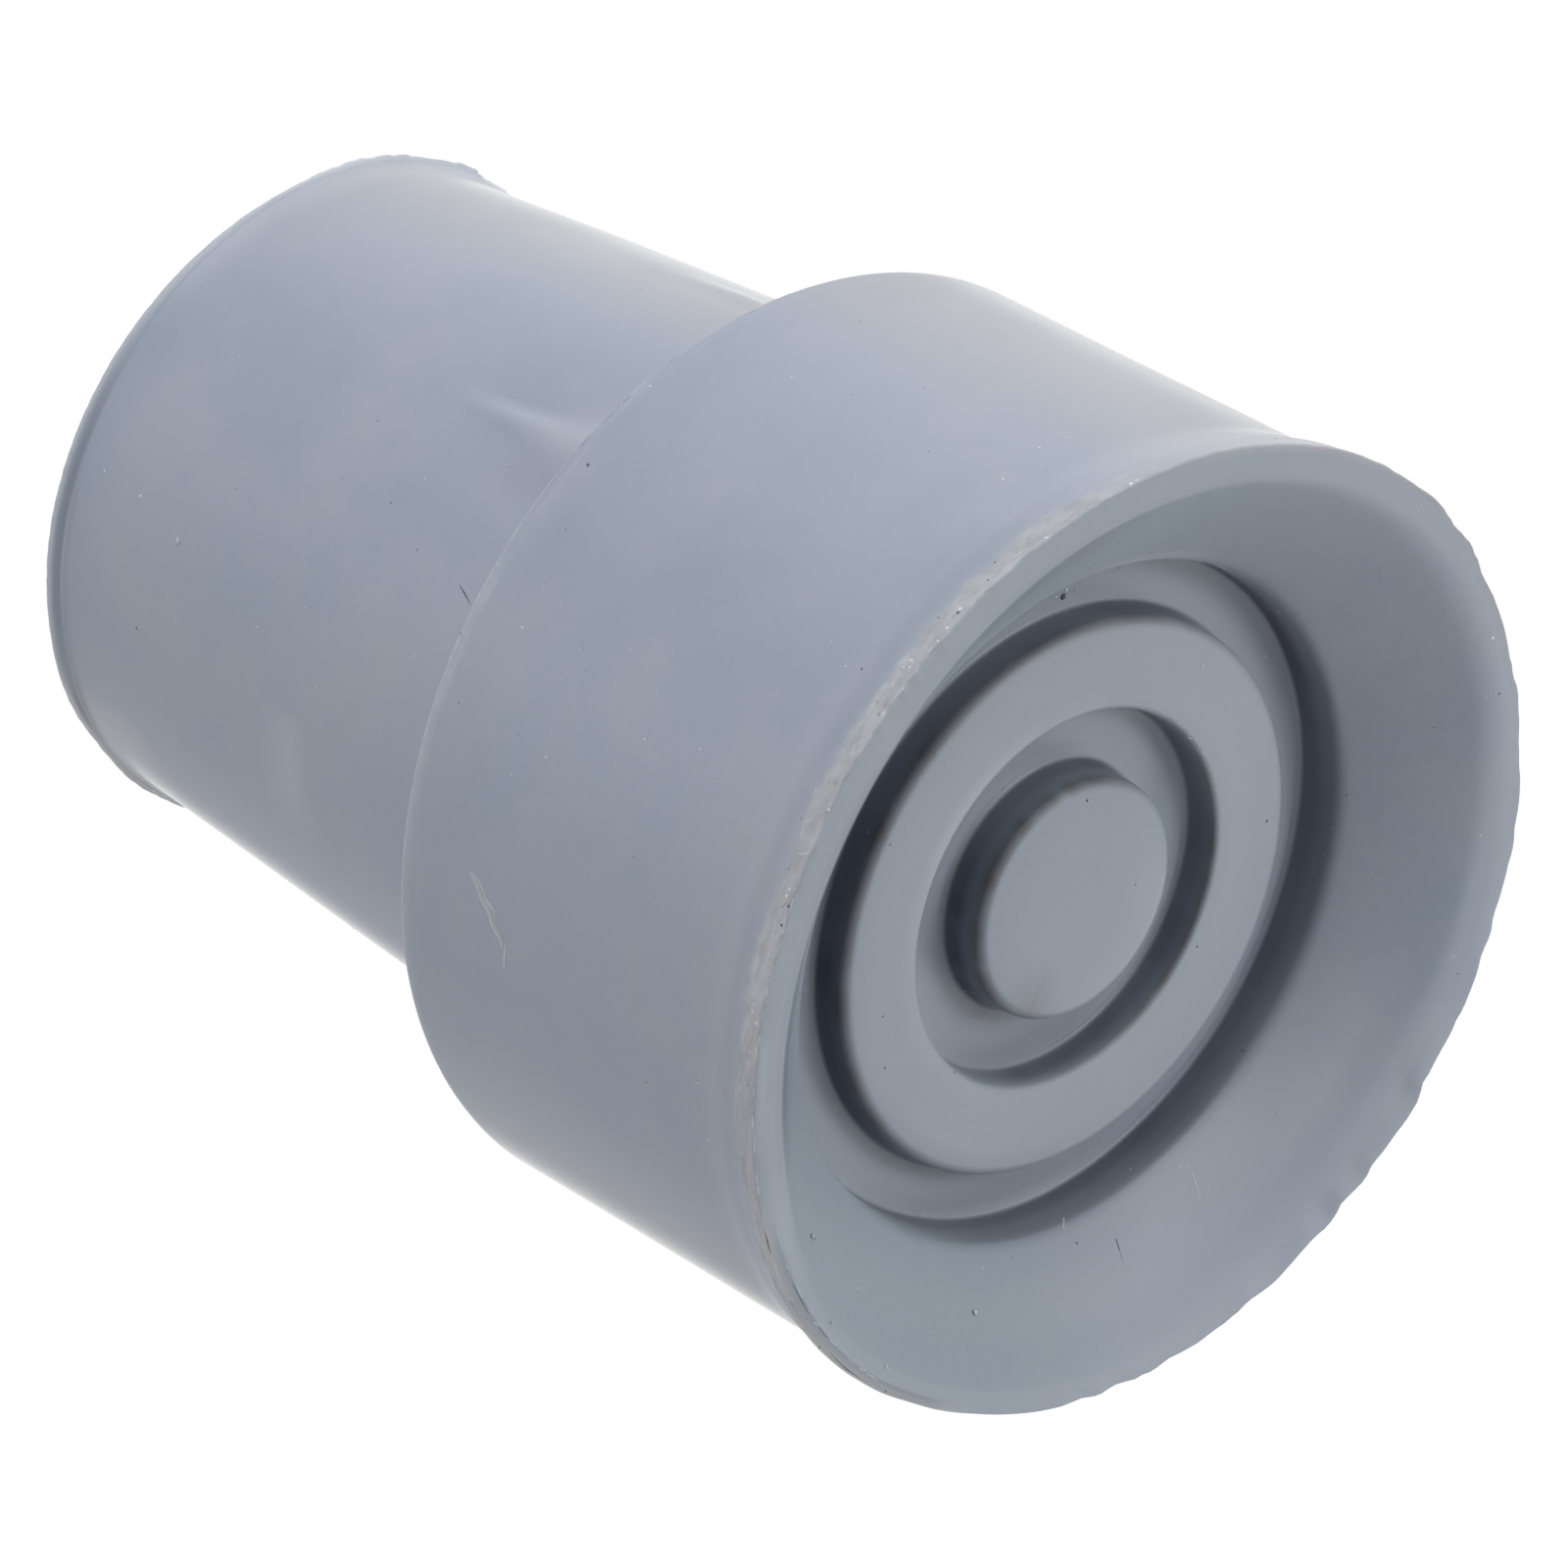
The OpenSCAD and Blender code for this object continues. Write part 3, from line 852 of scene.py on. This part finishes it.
# %% Specks
# Each carrier has its list of angle, height or radius, half-width in mm and shade.
specks = {
    on_base: [
        (21.2, 0.4, 0.11, 0.9), (20.7, 0.35, 0.08, -0.9), (13.6, 0.6, 0.09, 0.7),
        (12.5, 0.7, 0.08, 0.6), (16.8, 0.15, 0.07, 0.8), (18.6, 0.25, 0.08, 0.8),
        (-14.0, 0.4, 0.12, 0.5), (-15.5, 0.15, 0.09, -0.7), (-17.7, 0.2, 0.07, -0.8),
        (-29.1, 0.3, 0.1, 0.7), (-21.4, 0.4, 0.07, 0.6), (-32.7, 0.8, 0.06, 0.6),
        (16.3, 19.9, 0.12, -0.7), (15.9, 20.1, 0.08, 0.8), (28.4, 20.5, 0.09, 0.9),
        (41.8, 19.76, 0.06, 0.9), (39.9, 13.6, 0.05, 0.8), (35.9, 20.6, 0.06, -0.7),
        (42.4, 20.7, 0.06, -0.7), (7.8, 18.7, 0.06, 0.8), (11.5, 19.8, 0.06, -0.5),
        (-45.0, 6.7, 0.06, -0.8), (38.0, 8.2, 0.06, -0.7), (35.1, 10.3, 0.06, -0.7),
        (35.0, 9.4, 0.05, -0.6), (46.5, 11.6, 0.06, -0.7), (55.0, 10.8, 0.05, -0.7),
        (20.5, 17.1, 0.05, -0.7), (10.5, 2.6, 0.06, -0.8), (38.5, 16.1, 0.07, 0.9),
        (-36.5, 11.8, 0.05, 0.9), (-41.0, 3.7, 0.05, 0.8), (-44.5, 15.0, 0.05, 0.9),
        (-51.5, 13.8, 0.06, 0.7), (32.6, 11.4, 0.06, 0.8), (-48.0, 3.3, 0.05, 0.8),
        (10.0, 3.4, 0.05, 0.8), (-1.1, 18.05, 0.06, 0.8), (-3.3, 18.15, 0.08, 0.7),
        (-5.9, 19.8, 0.05, 0.5), (-2.1, 14.9, 0.06, -0.4), (-4.1, 14.3, 0.06, -0.4),
        (-14.7, 14.5, 0.06, 0.8), (-18.4, 15.9, 0.06, 0.6), (-14.2, 19.65, 0.08, -0.25),
        (-13.9, 20.6, 0.05, -0.7), (-0.8, 20.7, 0.06, -0.6), (-2.7, 20.75, 0.06, -0.5),
        (65.8, 5.9, 0.06, -0.6), (60.1, 8.4, 0.06, 0.6), (50.5, 5.0, 0.05, 0.7),
        (46.4, 5.2, 0.06, 0.9), (39.4, 4.65, 0.07, 0.7), (46.1, 0.1, 0.1, 0.9),
        (47.0, 0.15, 0.07, 0.8), (50.4, 0.47, 0.06, 0.7),
    ],
    on_neck: [
        (-15.2, 26.4, 0.05, 0.6), (-1.7, 28.6, 0.06, -0.3), (-19.0, 41.75, 0.2, 0.3),
        (-15.7, 44.7, 0.07, 0.9), (-24.3, 35.8, 0.05, 0.7), (-27.5, 31.6, 0.07, 0.4),
        (2.5, 31.2, 0.05, -0.6), (8.0, 30.3, 0.05, 0.6), (12.5, 34.5, 0.05, -0.5),
        (-17.5, 33.3, 0.05, 0.6), (-36.5, 43.5, 0.07, -0.4),
    ],
    on_tread: [
        (53.5, 12.2, 0.16, -0.7), (54.2, 12.45, 0.1, 0.9), (51.7, 12.3, 0.08, 0.8),
        (55.0, 4.3, 0.07, -0.9), (91.0, 10.2, 0.09, 0.8), (143.0, 10.5, 0.07, -0.6),
        (175.0, 8.4, 0.06, -0.6), (-62.0, 10.3, 0.06, -0.6), (-49.0, 9.8, 0.05, -0.6),
        (-106.2, 16.3, 0.12, 0.6), (-65.1, 17.3, 0.12, 0.5), (-65.9, 17.25, 0.07, -0.15),
        (-75.2, 18.8, 0.08, 0.5), (120.4, 19.4, 0.09, 0.9), (95.5, 19.4, 0.07, 0.5),
        (131.3, 16.9, 0.07, -0.6), (128.4, 19.2, 0.06, -0.7),
    ],
}
print(f"{sum(len(found) for found in specks.values())} specks")

# %% Frayed edges and painted glints
# Each is a carrier, a place on it, two angles, the share of the way that is
# frayed, the half-width in mm, the shade and the seed.  The pale strokes at the
# feet of the walls and along the dish's edge are partly crumbs of flash and
# partly painted glints where these edges catch the light.
frays_and_glints = [
    (on_tread, 14.05, -75.0, 78.0, 0.4, 0.025, 0.4, 61),
    (on_tread, 11.35, -12.0, 36.0, 0.55, 0.018, 0.3, 62),
    (on_tread, 7.88, 80.0, 126.0, 0.9, 0.045, 0.6, 63),
    (on_tread, 7.45, -155.0, -130.0, 0.5, 0.025, 0.4, 64),
    (on_tread, 5.42, -6.0, 46.0, 0.7, 0.022, 0.3, 65),
    (on_tread, 4.9, 105.0, 150.0, 0.8, 0.03, 0.5, 66),
    (on_tread, 17.7, -25.0, -9.0, 0.6, 0.022, 0.6, 67),
    (on_base, 0.05, -58.0, -14.0, 0.8, 0.03, 0.6, 68),
    (on_base, 1.22, -42.0, -20.0, 0.5, 0.02, 0.35, 70),
    (on_tread, 19.48, -86.0, -52.0, 0.8, 0.03, 0.5, 69),
    (on_base, 20.85, -42.0, 12.0, 0.75, 0.035, 0.4, 73),
    (on_base, 20.9, 12.0, 50.0, 0.4, 0.03, 0.35, 71),
    (on_tread, 17.3, -42.0, -24.0, 0.6, 0.022, 0.4, 74),
    (on_base, 20.82, 12.0, 45.0, 0.35, 0.03, -0.3, 72),
]


def fray_and_glint(carrier, at, first, last, share, half_width, tone, seed):
    """Broken short strokes along an edge, over a share of the way from one angle to another."""
    draw = np.random.default_rng(seed)
    degrees = first
    while degrees < last:
        length = draw.uniform(0.8, 2.4)
        wander = at + draw.uniform(-0.05, 0.05, 3)
        trail = list(zip((degrees, degrees + length / 2, degrees + length), wander))
        if draw.random() < share:
            stroke_width = half_width * draw.uniform(0.6, 1.4)
            stroke_tone = tone * draw.uniform(0.5, 1.3)
            scratches.append((carrier, trail, stroke_width, stroke_tone))
        degrees += length


for edge_strokes in frays_and_glints:
    fray_and_glint(*edge_strokes)
print(f"{len(scratches)} scratches with the frayed edges")

# %% A mesh of marks
mark_points = []
mark_lines = []
half_widths = []
shades = []


def put(carrier, place_on_it, half_width, tone):
    """Adds one point of a mark, at its place on its carrier."""
    degrees, r, z = carrier(*place_on_it)
    t = math.radians(degrees)
    mark_points.append((r * math.cos(t) * MM, r * math.sin(t) * MM, z * MM))
    half_widths.append(half_width * MM)
    shades.append(tone)


thin_end = 0.45
for carrier, trail, half_width, tone in scratches:
    for k, step in enumerate(trail):
        thinning = thin_end if k in (0, len(trail) - 1) else 1.0
        if k:
            mark_lines.append((len(mark_points) - 1, len(mark_points)))
        put(carrier, step, half_width * thinning, tone)
for carrier, found in specks.items():
    for degrees, at, half_width, tone in found:
        put(carrier, (degrees, at), half_width, tone)
marks = bpy.data.meshes.new("marks")
marks.from_pydata(mark_points, mark_lines, [])
for name, values in (("half_width", half_widths), ("shade", shades)):
    marks.attributes.new(name, "FLOAT", "POINT").data.foreach_set("value", values)
print(f"marks: {len(mark_points)} points, {len(mark_lines)} lines")

# %% The marking tree: what it is asked
marking, asked, made = new_tree("mark_body", [
    ("Body", "Object"),
    ("Bead spacing", "Float"),
    ("Specks per square metre", "Float"),
    ("Crumbs per square metre", "Float"),
    ("Smallest", "Float"),
    ("Largest", "Float"),
    ("Flatness", "Float"),
    ("Seed", "Int"),
])
carrier_info = add(marking, "GeometryNodeObjectInfo", {"Object": asked.outputs["Body"]})
skin = carrier_info.outputs["Geometry"]
here = add(marking, "GeometryNodeInputPosition").outputs[0]
closest = add(marking, "GeometryNodeProximity", {0: skin}, target_element="FACES")
on_skin = closest.outputs["Position"]


def named(tree, name):
    """A field that reads one attribute of the points."""
    return add(tree, "GeometryNodeInputNamedAttribute", {"Name": name}, data_type="FLOAT").outputs[0]


half_width_of = named(marking, "half_width")
print(f"marking tree: {len(marking.nodes)} nodes so far")

# %% The marking tree: beads along the scratches
curves = through(marking, asked.outputs["Geometry"], "GeometryNodeMeshToCurve")
resampled = through(marking, curves, "GeometryNodeResampleCurve", {
    "Length": asked.outputs["Bead spacing"],
}, mode="LENGTH")
snapped = through(marking, resampled, "GeometryNodeSetPosition", {"Position": on_skin})
round_bead = add(marking, "GeometryNodeCurvePrimitiveCircle", {"Resolution": 6, "Radius": 1.0})
beads = through(marking, snapped, "GeometryNodeCurveToMesh", {
    "Profile Curve": round_bead,
    "Scale": half_width_of,
    "Fill Caps": True,
})
print(f"marking tree: {len(marking.nodes)} nodes so far")

# %% The marking tree: pebbles on the listed specks and at random
pebble = add(marking, "GeometryNodeMeshIcoSphere", {"Radius": 1.0, "Subdivisions": 1})
neighbours = add(marking, "GeometryNodeInputMeshVertexNeighbors").outputs["Vertex Count"]
lone = add(marking, "FunctionNodeCompare", {2: neighbours, 3: 0}, data_type="INT", operation="EQUAL")
listed = through(marking, asked.outputs["Geometry"], "GeometryNodeInstanceOnPoints", {
    "Selection": lone,
    "Instance": pebble,
    "Scale": half_width_of,
})
extra = maths(marking, "MULTIPLY", named(marking, "crumbs"), asked.outputs["Crumbs per square metre"])
scatter = through(marking, skin, "GeometryNodeDistributePointsOnFaces", {
    "Density": maths(marking, "ADD", asked.outputs["Specks per square metre"], extra),
    "Seed": asked.outputs["Seed"],
})
chance = add(marking, "FunctionNodeRandomValue", {"Seed": asked.outputs["Seed"]}, data_type="FLOAT")
skewed = maths(marking, "POWER", chance.outputs[1], 3.0)
spread = maths(marking, "SUBTRACT", asked.outputs["Largest"], asked.outputs["Smallest"])
random_size = maths(marking, "MULTIPLY", skewed, spread)
random_size = maths(marking, "ADD", asked.outputs["Smallest"], random_size)
random_shade = add(marking, "FunctionNodeRandomValue", {2: -0.75, 3: 0.85, "Seed": 7}, data_type="FLOAT")
toned = through(marking, scatter, "GeometryNodeStoreNamedAttribute", {
    "Name": "shade",
    "Value": random_shade.outputs[1],
}, **number_on_points)
random_set = through(marking, toned, "GeometryNodeInstanceOnPoints", {
    "Instance": pebble,
    "Scale": random_size,
})
print(f"marking tree: {len(marking.nodes)} nodes so far")

# %% The marking tree: press them flat and join them to the body
together = add(marking, "GeometryNodeJoinGeometry")
for part in (beads, listed, random_set):
    marking.links.new(part, together.inputs[0])
real = through(marking, together, "GeometryNodeRealizeInstances")
toward = add(marking, "ShaderNodeVectorMath", {0: on_skin, 1: here}, operation="SUBTRACT")
press = add(marking, "ShaderNodeVectorMath", {
    0: toward,
    "Scale": asked.outputs["Flatness"],
}, operation="SCALE")
pressed = through(marking, real, "GeometryNodeSetPosition", {"Offset": press})
whole = add(marking, "GeometryNodeJoinGeometry")
marking.links.new(pressed, whole.inputs[0])
marking.links.new(skin, whole.inputs[0])
all_real = through(marking, whole, "GeometryNodeRealizeInstances")
smooth = through(marking, all_real, "GeometryNodeSetShadeSmooth")
painted = through(marking, smooth, "GeometryNodeSetMaterial", {"Material": rubber})
marking.links.new(painted, made.inputs[0])
print(f"marking tree: {len(marking.nodes)} nodes")

# %% Lay the marks on the body
bare_body = bpy.data.objects.new("bare_body", body)
bpy.context.scene.collection.objects.link(bare_body)
finished = run_tree(marks, marking, {
    "Body": bare_body,
    "Bead spacing": 0.15 * MM,
    "Specks per square metre": 0.065 / MM**2,
    "Crumbs per square metre": 0.9 / MM**2,
    "Smallest": 0.022 * MM,
    "Largest": 0.07 * MM,
    "Flatness": 0.8,
    "Seed": 12,
})
bpy.data.objects.remove(bare_body)
tip = bpy.data.objects.new("rubber_tip", finished)
bpy.context.scene.collection.objects.link(tip)
triangles = sum(len(f.vertices) - 2 for f in finished.polygons)
print(f"finished tip: {triangles} triangles")

# %% [markdown]
# ## The rubber
#
# Old grey rubber has a satin skin.  The colour drifts a
# little between blue and grey over a few millimetres, and a fine grain breaks
# it up.  The torn strip is paler, flecked and dull.  All patterns read Object
# coordinates, or the two places along the strip, so they stay with the tip in
# any view.  Colours are laid one over another, each with a mask or a pattern
# as its share, and most of the masks paint light and shade into the colour:
# painted shadow in the grooves, painted highlights and painted sheen.  Where
# the skin is seen at a glance, it mirrors the bright room: Layer Weight mixes
# in that sheen.


# %% Helpers for materials
def mask(tree, name):
    """The output of an Attribute node that reads one mask."""
    return add(tree, "ShaderNodeAttribute", attribute_name=name).outputs["Fac"]


def noise(tree, vector, scale, detail, roughness=0.5):
    """The output of a Noise Texture node."""
    settings = {"Vector": vector, "Scale": scale, "Detail": detail, "Roughness": roughness}
    return add(tree, "ShaderNodeTexNoise", settings).outputs[0]


def layered(tree, colour, *layers):
    """Lays one colour after another over the first, each with its share, through Mix nodes."""
    for share, tint in layers:
        node = add(tree, "ShaderNodeMix", {0: share}, data_type="RGBA")
        for socket, value in ((node.inputs[6], colour), (node.inputs[7], tint)):
            if isinstance(value, bpy.types.NodeSocket):
                tree.links.new(value, socket)
            else:
                socket.default_value = (*value, 1.0)
        colour = node.outputs[2]
    return colour


def remap(tree, value, low_in, high_in, low_out=0.0, high_out=1.0):
    """The output of a Map Range node."""
    settings = {0: value, 1: low_in, 2: high_in, 3: low_out, 4: high_out}
    return add(tree, "ShaderNodeMapRange", settings).outputs[0]


# %% The patterns in the rubber
rubber.use_nodes = True
skin_nodes = rubber.node_tree
shader = skin_nodes.nodes["Principled BSDF"]
coords = add(skin_nodes, "ShaderNodeTexCoord").outputs["Object"]
drift = noise(skin_nodes, coords, 150.0, 3.0, 0.55)
fine_grain = noise(skin_nodes, coords, 5200.0, 2.0)
on_strip = add(skin_nodes, "ShaderNodeCombineXYZ", {
    "X": mask(skin_nodes, "around"),
    "Y": mask(skin_nodes, "up"),
}).outputs[0]
blotches = noise(skin_nodes, on_strip, 1.6, 3.0, 0.6)
flecks = noise(skin_nodes, on_strip, 3.4, 1.5, 0.6)
print("patterns: drift, fine grain, blotches and flecks")

# %% The skin's colour
blue_grey = (0.2, 0.233, 0.291)
warm_grey = (0.231, 0.251, 0.304)
tread_grey = (0.208, 0.243, 0.285)
grain_grey = (0.30, 0.32, 0.36)
# The next two greys are painted sheen, on the upper and on the low flank.
upper_sheen_grey = (0.263, 0.268, 0.292)
lower_sheen_grey = (0.24, 0.243, 0.265)
skin_colour = layered(
    skin_nodes,
    blue_grey,
    (remap(skin_nodes, drift, 0.35, 0.65), warm_grey),
    (mask(skin_nodes, "tread"), tread_grey),
    (remap(skin_nodes, fine_grain, 0.3, 0.7, 0.0, 0.1), grain_grey),
    (mask(skin_nodes, "dust"), upper_sheen_grey),
    (maths(skin_nodes, "MULTIPLY", mask(skin_nodes, "rubbed"), 0.6), lower_sheen_grey),
)
print(f"skin from {blue_grey} to {warm_grey}")

# %% The torn strip's colour
torn_dark = (0.242, 0.253, 0.276)
torn_pale = (0.318, 0.329, 0.352)
scraped_grey = (0.318, 0.324, 0.338)
pale_fleck = (0.46, 0.46, 0.46)
dark_fleck = (0.12, 0.12, 0.13)
along_strip = add(skin_nodes, "ShaderNodeSeparateXYZ", {0: on_strip}).outputs["X"]
rough_from = remap(skin_nodes, along_strip, 3.0, 5.5, 0.3, 1.0)
rough_to = remap(skin_nodes, along_strip, 8.5, 10.0, 1.0, 0.45)
rough_part = maths(skin_nodes, "MINIMUM", rough_from, rough_to)
light_flecks = remap(skin_nodes, flecks, 0.6, 0.72, 0.0, 0.5)
dark_flecks = remap(skin_nodes, flecks, 0.38, 0.28, 0.0, 0.4)
torn_colour = layered(
    skin_nodes,
    torn_dark,
    (remap(skin_nodes, blotches, 0.35, 0.65), torn_pale),
    (remap(skin_nodes, along_strip, -0.9, -1.5), scraped_grey),
    (maths(skin_nodes, "MULTIPLY", light_flecks, rough_part), pale_fleck),
    (maths(skin_nodes, "MULTIPLY", dark_flecks, rough_part), dark_fleck),
)
print(f"torn strip from {torn_dark} to {torn_pale}")

# %% Painted light and shade, wear and dirt over both
# The shade mask mixes toward a pale grey for painted highlights and scuffs and toward a near-black for
# painted shade and dark marks; the brown is painted shade along the grooves' edges with a little dirt,
# the blue painted shade low in the grooves.
pale_light_and_wear = (0.62, 0.64, 0.66)
dark_shade_and_wear = (0.026, 0.037, 0.059)
edge_shade_and_dirt_brown = (0.085, 0.075, 0.068)
groove_shade_blue = (0.047, 0.053, 0.088)
torn_share = mask(skin_nodes, "torn")
shade_of = mask(skin_nodes, "shade")
colour = layered(
    skin_nodes,
    skin_colour,
    (torn_share, torn_colour),
    (remap(skin_nodes, shade_of, 0.0, 1.0), pale_light_and_wear),
    (remap(skin_nodes, shade_of, 0.0, -1.0), dark_shade_and_wear),
    (mask(skin_nodes, "grime"), edge_shade_and_dirt_brown),
    (mask(skin_nodes, "soot"), groove_shade_blue),
)
skin_nodes.links.new(colour, shader.inputs["Base Color"])
print(f"shade from {dark_shade_and_wear} to {pale_light_and_wear}")

# %% Gloss and relief
smoothest = 0.47
roughest = 0.55
torn_extra = 0.15
gloss = remap(skin_nodes, drift, 0.3, 0.7, smoothest, roughest)
gloss = maths(skin_nodes, "ADD", gloss, maths(skin_nodes, "MULTIPLY", torn_share, torn_extra))
skin_nodes.links.new(gloss, shader.inputs["Roughness"])
skin_nodes.links.new(mask(skin_nodes, "gleam"), shader.inputs["Specular IOR Level"])
skin_bump = add(skin_nodes, "ShaderNodeBump", {
    "Height": fine_grain,
    "Strength": 0.25,
    "Distance": 0.01 * MM,
})
torn_bump = add(skin_nodes, "ShaderNodeBump", {
    "Height": maths(skin_nodes, "MULTIPLY", flecks, torn_share),
    "Strength": 0.6,
    "Distance": 0.06 * MM,
    "Normal": skin_bump,
})
skin_nodes.links.new(torn_bump.outputs[0], shader.inputs["Normal"])
print(f"roughness {smoothest} to {roughest}, and {torn_extra} more on the torn strip")

# %% Sheen at a glance
glance = add(skin_nodes, "ShaderNodeLayerWeight", {"Blend": 0.5}).outputs["Facing"]
glance = remap(skin_nodes, glance, 0.78, 1.0)
glance = maths(skin_nodes, "MULTIPLY", maths(skin_nodes, "POWER", glance, 2.0), 0.9)
not_dull = maths(skin_nodes, "SUBTRACT", 1.0, mask(skin_nodes, "dull"))
glance = maths(skin_nodes, "MULTIPLY", glance, not_dull)
sheen = add(skin_nodes, "ShaderNodeBsdfAnisotropic", {
    "Color": (1.0, 0.985, 0.96, 1.0),
    "Roughness": 0.25,
})
skin_and_sheen = add(skin_nodes, "ShaderNodeMixShader", {0: glance, 1: shader, 2: sheen})
surface = skin_nodes.nodes["Material Output"].inputs["Surface"]
skin_nodes.links.new(skin_and_sheen.outputs[0], surface)
print(f"rubber: {len(skin_nodes.nodes)} nodes")

# %% Hand the tip to the frame
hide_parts("cane_tip")
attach(tip, "root")
print(f"{tip.name} stands for the node cane_tip")

# %% [markdown]
# ## Floor and camera
#
# The tip stands on its tread, and the camera looks up at it from below the
# floor.  A plain floor would hide the tread, and no floor would leave the tip
# hanging in the other views.  So the floor is a one-way sheet: a camera above
# it sees a pale floor with the tip's shadow, and everything else passes
# through it.  Half of it glows, so that it stays pale in any light.

# %% One-way floor
one_way = bpy.data.materials.new("one_way_floor")
one_way.use_nodes = True
floor_tree = one_way.node_tree
floor_tree.nodes.remove(floor_tree.nodes["Principled BSDF"])
pale = add(floor_tree, "ShaderNodeBsdfDiffuse", {"Color": (0.8, 0.8, 0.8, 1.0)})
glow = add(floor_tree, "ShaderNodeEmission", {"Color": (1.0, 1.0, 1.0, 1.0), "Strength": 1.0})
card = add(floor_tree, "ShaderNodeMixShader", {0: 0.5, 1: pale, 2: glow})
clear = add(floor_tree, "ShaderNodeBsdfTransparent")
light_path = add(floor_tree, "ShaderNodeLightPath")
backfacing = add(floor_tree, "ShaderNodeNewGeometry").outputs["Backfacing"]
floor_coords = add(floor_tree, "ShaderNodeTexCoord").outputs["Object"]
far_out = add(floor_tree, "ShaderNodeVectorMath", {0: floor_coords}, operation="LENGTH")
fade_starts = 0.12
fade_ends = 0.28
near_in = remap(floor_tree, far_out.outputs["Value"], fade_starts, fade_ends, 1.0, 0.0)
from_above = maths(floor_tree, "SUBTRACT", 1.0, backfacing)
seen = maths(floor_tree, "MULTIPLY", light_path.outputs["Is Camera Ray"], from_above)
seen = maths(floor_tree, "MULTIPLY", seen, near_in)
sheet = add(floor_tree, "ShaderNodeMixShader", {0: seen, 1: clear, 2: card})
surface = floor_tree.nodes["Material Output"].inputs["Surface"]
floor_tree.links.new(sheet.outputs[0], surface)
half_floor = 0.3
floor_mesh = bpy.data.meshes.new("floor")
floor_mesh.from_pydata(
    [(-half_floor, -half_floor, 0.0), (half_floor, -half_floor, 0.0),
     (half_floor, half_floor, 0.0), (-half_floor, half_floor, 0.0)],
    [],
    [(0, 1, 2, 3)],
)
floor_mesh.materials.append(one_way)
floor = bpy.data.objects.new("floor", floor_mesh)
floor.location.z = -0.3 * MM
bpy.context.scene.collection.objects.link(floor)
print(f"floor: {2 * half_floor} m square, faded out past {fade_starts} m")

# %% Camera
camera_at = Vector((0.29758024, -0.00151113, -0.23451984))
look = Vector((-0.76038811, 0.0, 0.64946895))
camera_up = Vector((0.31423726, 0.875158, 0.36790409))
camera = bpy.data.cameras.new("camera")
camera.lens = 228.55
camera.sensor_width = 36.0
camera.clip_start = 0.01
camera.clip_end = 10.0
camera_obj = bpy.data.objects.new("camera", camera)
bpy.context.scene.collection.objects.link(camera_obj)
axes = Matrix((look.cross(camera_up), camera_up, -look)).transposed().to_4x4()
camera_obj.matrix_world = Matrix.Translation(camera_at) @ axes
bpy.context.scene.camera = camera_obj
print(f"camera: {camera_at.length:.3f} m away, {camera.lens:.2f} mm lens")

# %% [markdown]
# ## Soft lamps in a ring
#
# The tip hangs in a tent of soft light with an opening for the camera.  Round
# lamps in a ring about the camera's line do the same: no light comes from the
# camera's own side, so the walls of the grooves stay dark while every face
# outside is lit.  Each lamp has a direction from the tip, a radius in metres
# and a brightness, and its power is pi times its area times its brightness.

# %% Lamps
aim = Vector((0.0, 0.0, 0.0246))
distance = 0.45
lamps = [
    ("upper_softbox", (0.588, 0.809, 0.0), 0.225, 5.62),
    ("right_back", (-0.894, 0.0, -0.447), 0.085, 4.51),
    ("lower_left", (0.588, -0.809, 0.0), 0.085, 11.28),
    ("right_low", (-0.251, 0.0, -0.968), 0.085, 8.51),
    ("below", (-0.155, -0.955, -0.251), 0.085, 6.05),
    ("behind", (-0.362, 0.588, 0.724), 0.225, 0.95),
    ("right", (-0.162, 0.5, -0.851), 0.085, 9.15),
    ("right_fill", (0.1, 0.6, -0.8), 0.12, 1.31),
    ("left", (0.831, -0.239, 0.502), 0.085, 5.4),
    ("left_fill", (0.4, -0.5, 0.75), 0.15, 0.48),
    ("low_fill", (0.3, -0.9, 0.45), 0.15, 0.2),
    ("overhead", (0.0, 0.0, 1.0), 0.225, 0.5),
]
for title, direction, lamp_r, brightness in lamps:
    lamp = bpy.data.lights.new(title, "AREA")
    lamp.shape = "DISK"
    lamp.size = 2 * lamp_r
    lamp_area = math.pi * lamp_r**2
    lamp.energy = brightness * math.pi * lamp_area
    lamp_obj = bpy.data.objects.new(title, lamp)
    bpy.context.scene.collection.objects.link(lamp_obj)
    way = Vector(direction).normalized()
    facing_tip = (-way).to_track_quat("-Z", "Y").to_matrix().to_4x4()
    lamp_obj.matrix_world = Matrix.Translation(aim + way * distance) @ facing_tip
    lamp_obj.visible_camera = False
print(f"{len(lamps)} lamps at {distance} m")

# %% World
world = bpy.data.worlds.new("white_tent")
bpy.context.scene.world = world
world.use_nodes = True
world_tree = world.node_tree
backdrop = world_tree.nodes["Background"]
path = add(world_tree, "ShaderNodeLightPath").outputs
shown = maths(world_tree, "MAXIMUM", path["Is Camera Ray"], path["Is Transmission Ray"])
shown = maths(world_tree, "MAXIMUM", shown, path["Is Glossy Ray"])
faint_light = 0.03
strength = remap(world_tree, shown, 0.0, 1.0, faint_light, 1.0)
world_tree.links.new(strength, backdrop.inputs["Strength"])
backdrop.inputs["Color"].default_value = (1.0, 1.0, 1.0, 1.0)
bpy.context.scene.view_settings.view_transform = "Standard"
print(f"world: white where it is seen or mirrored, {faint_light} as light")
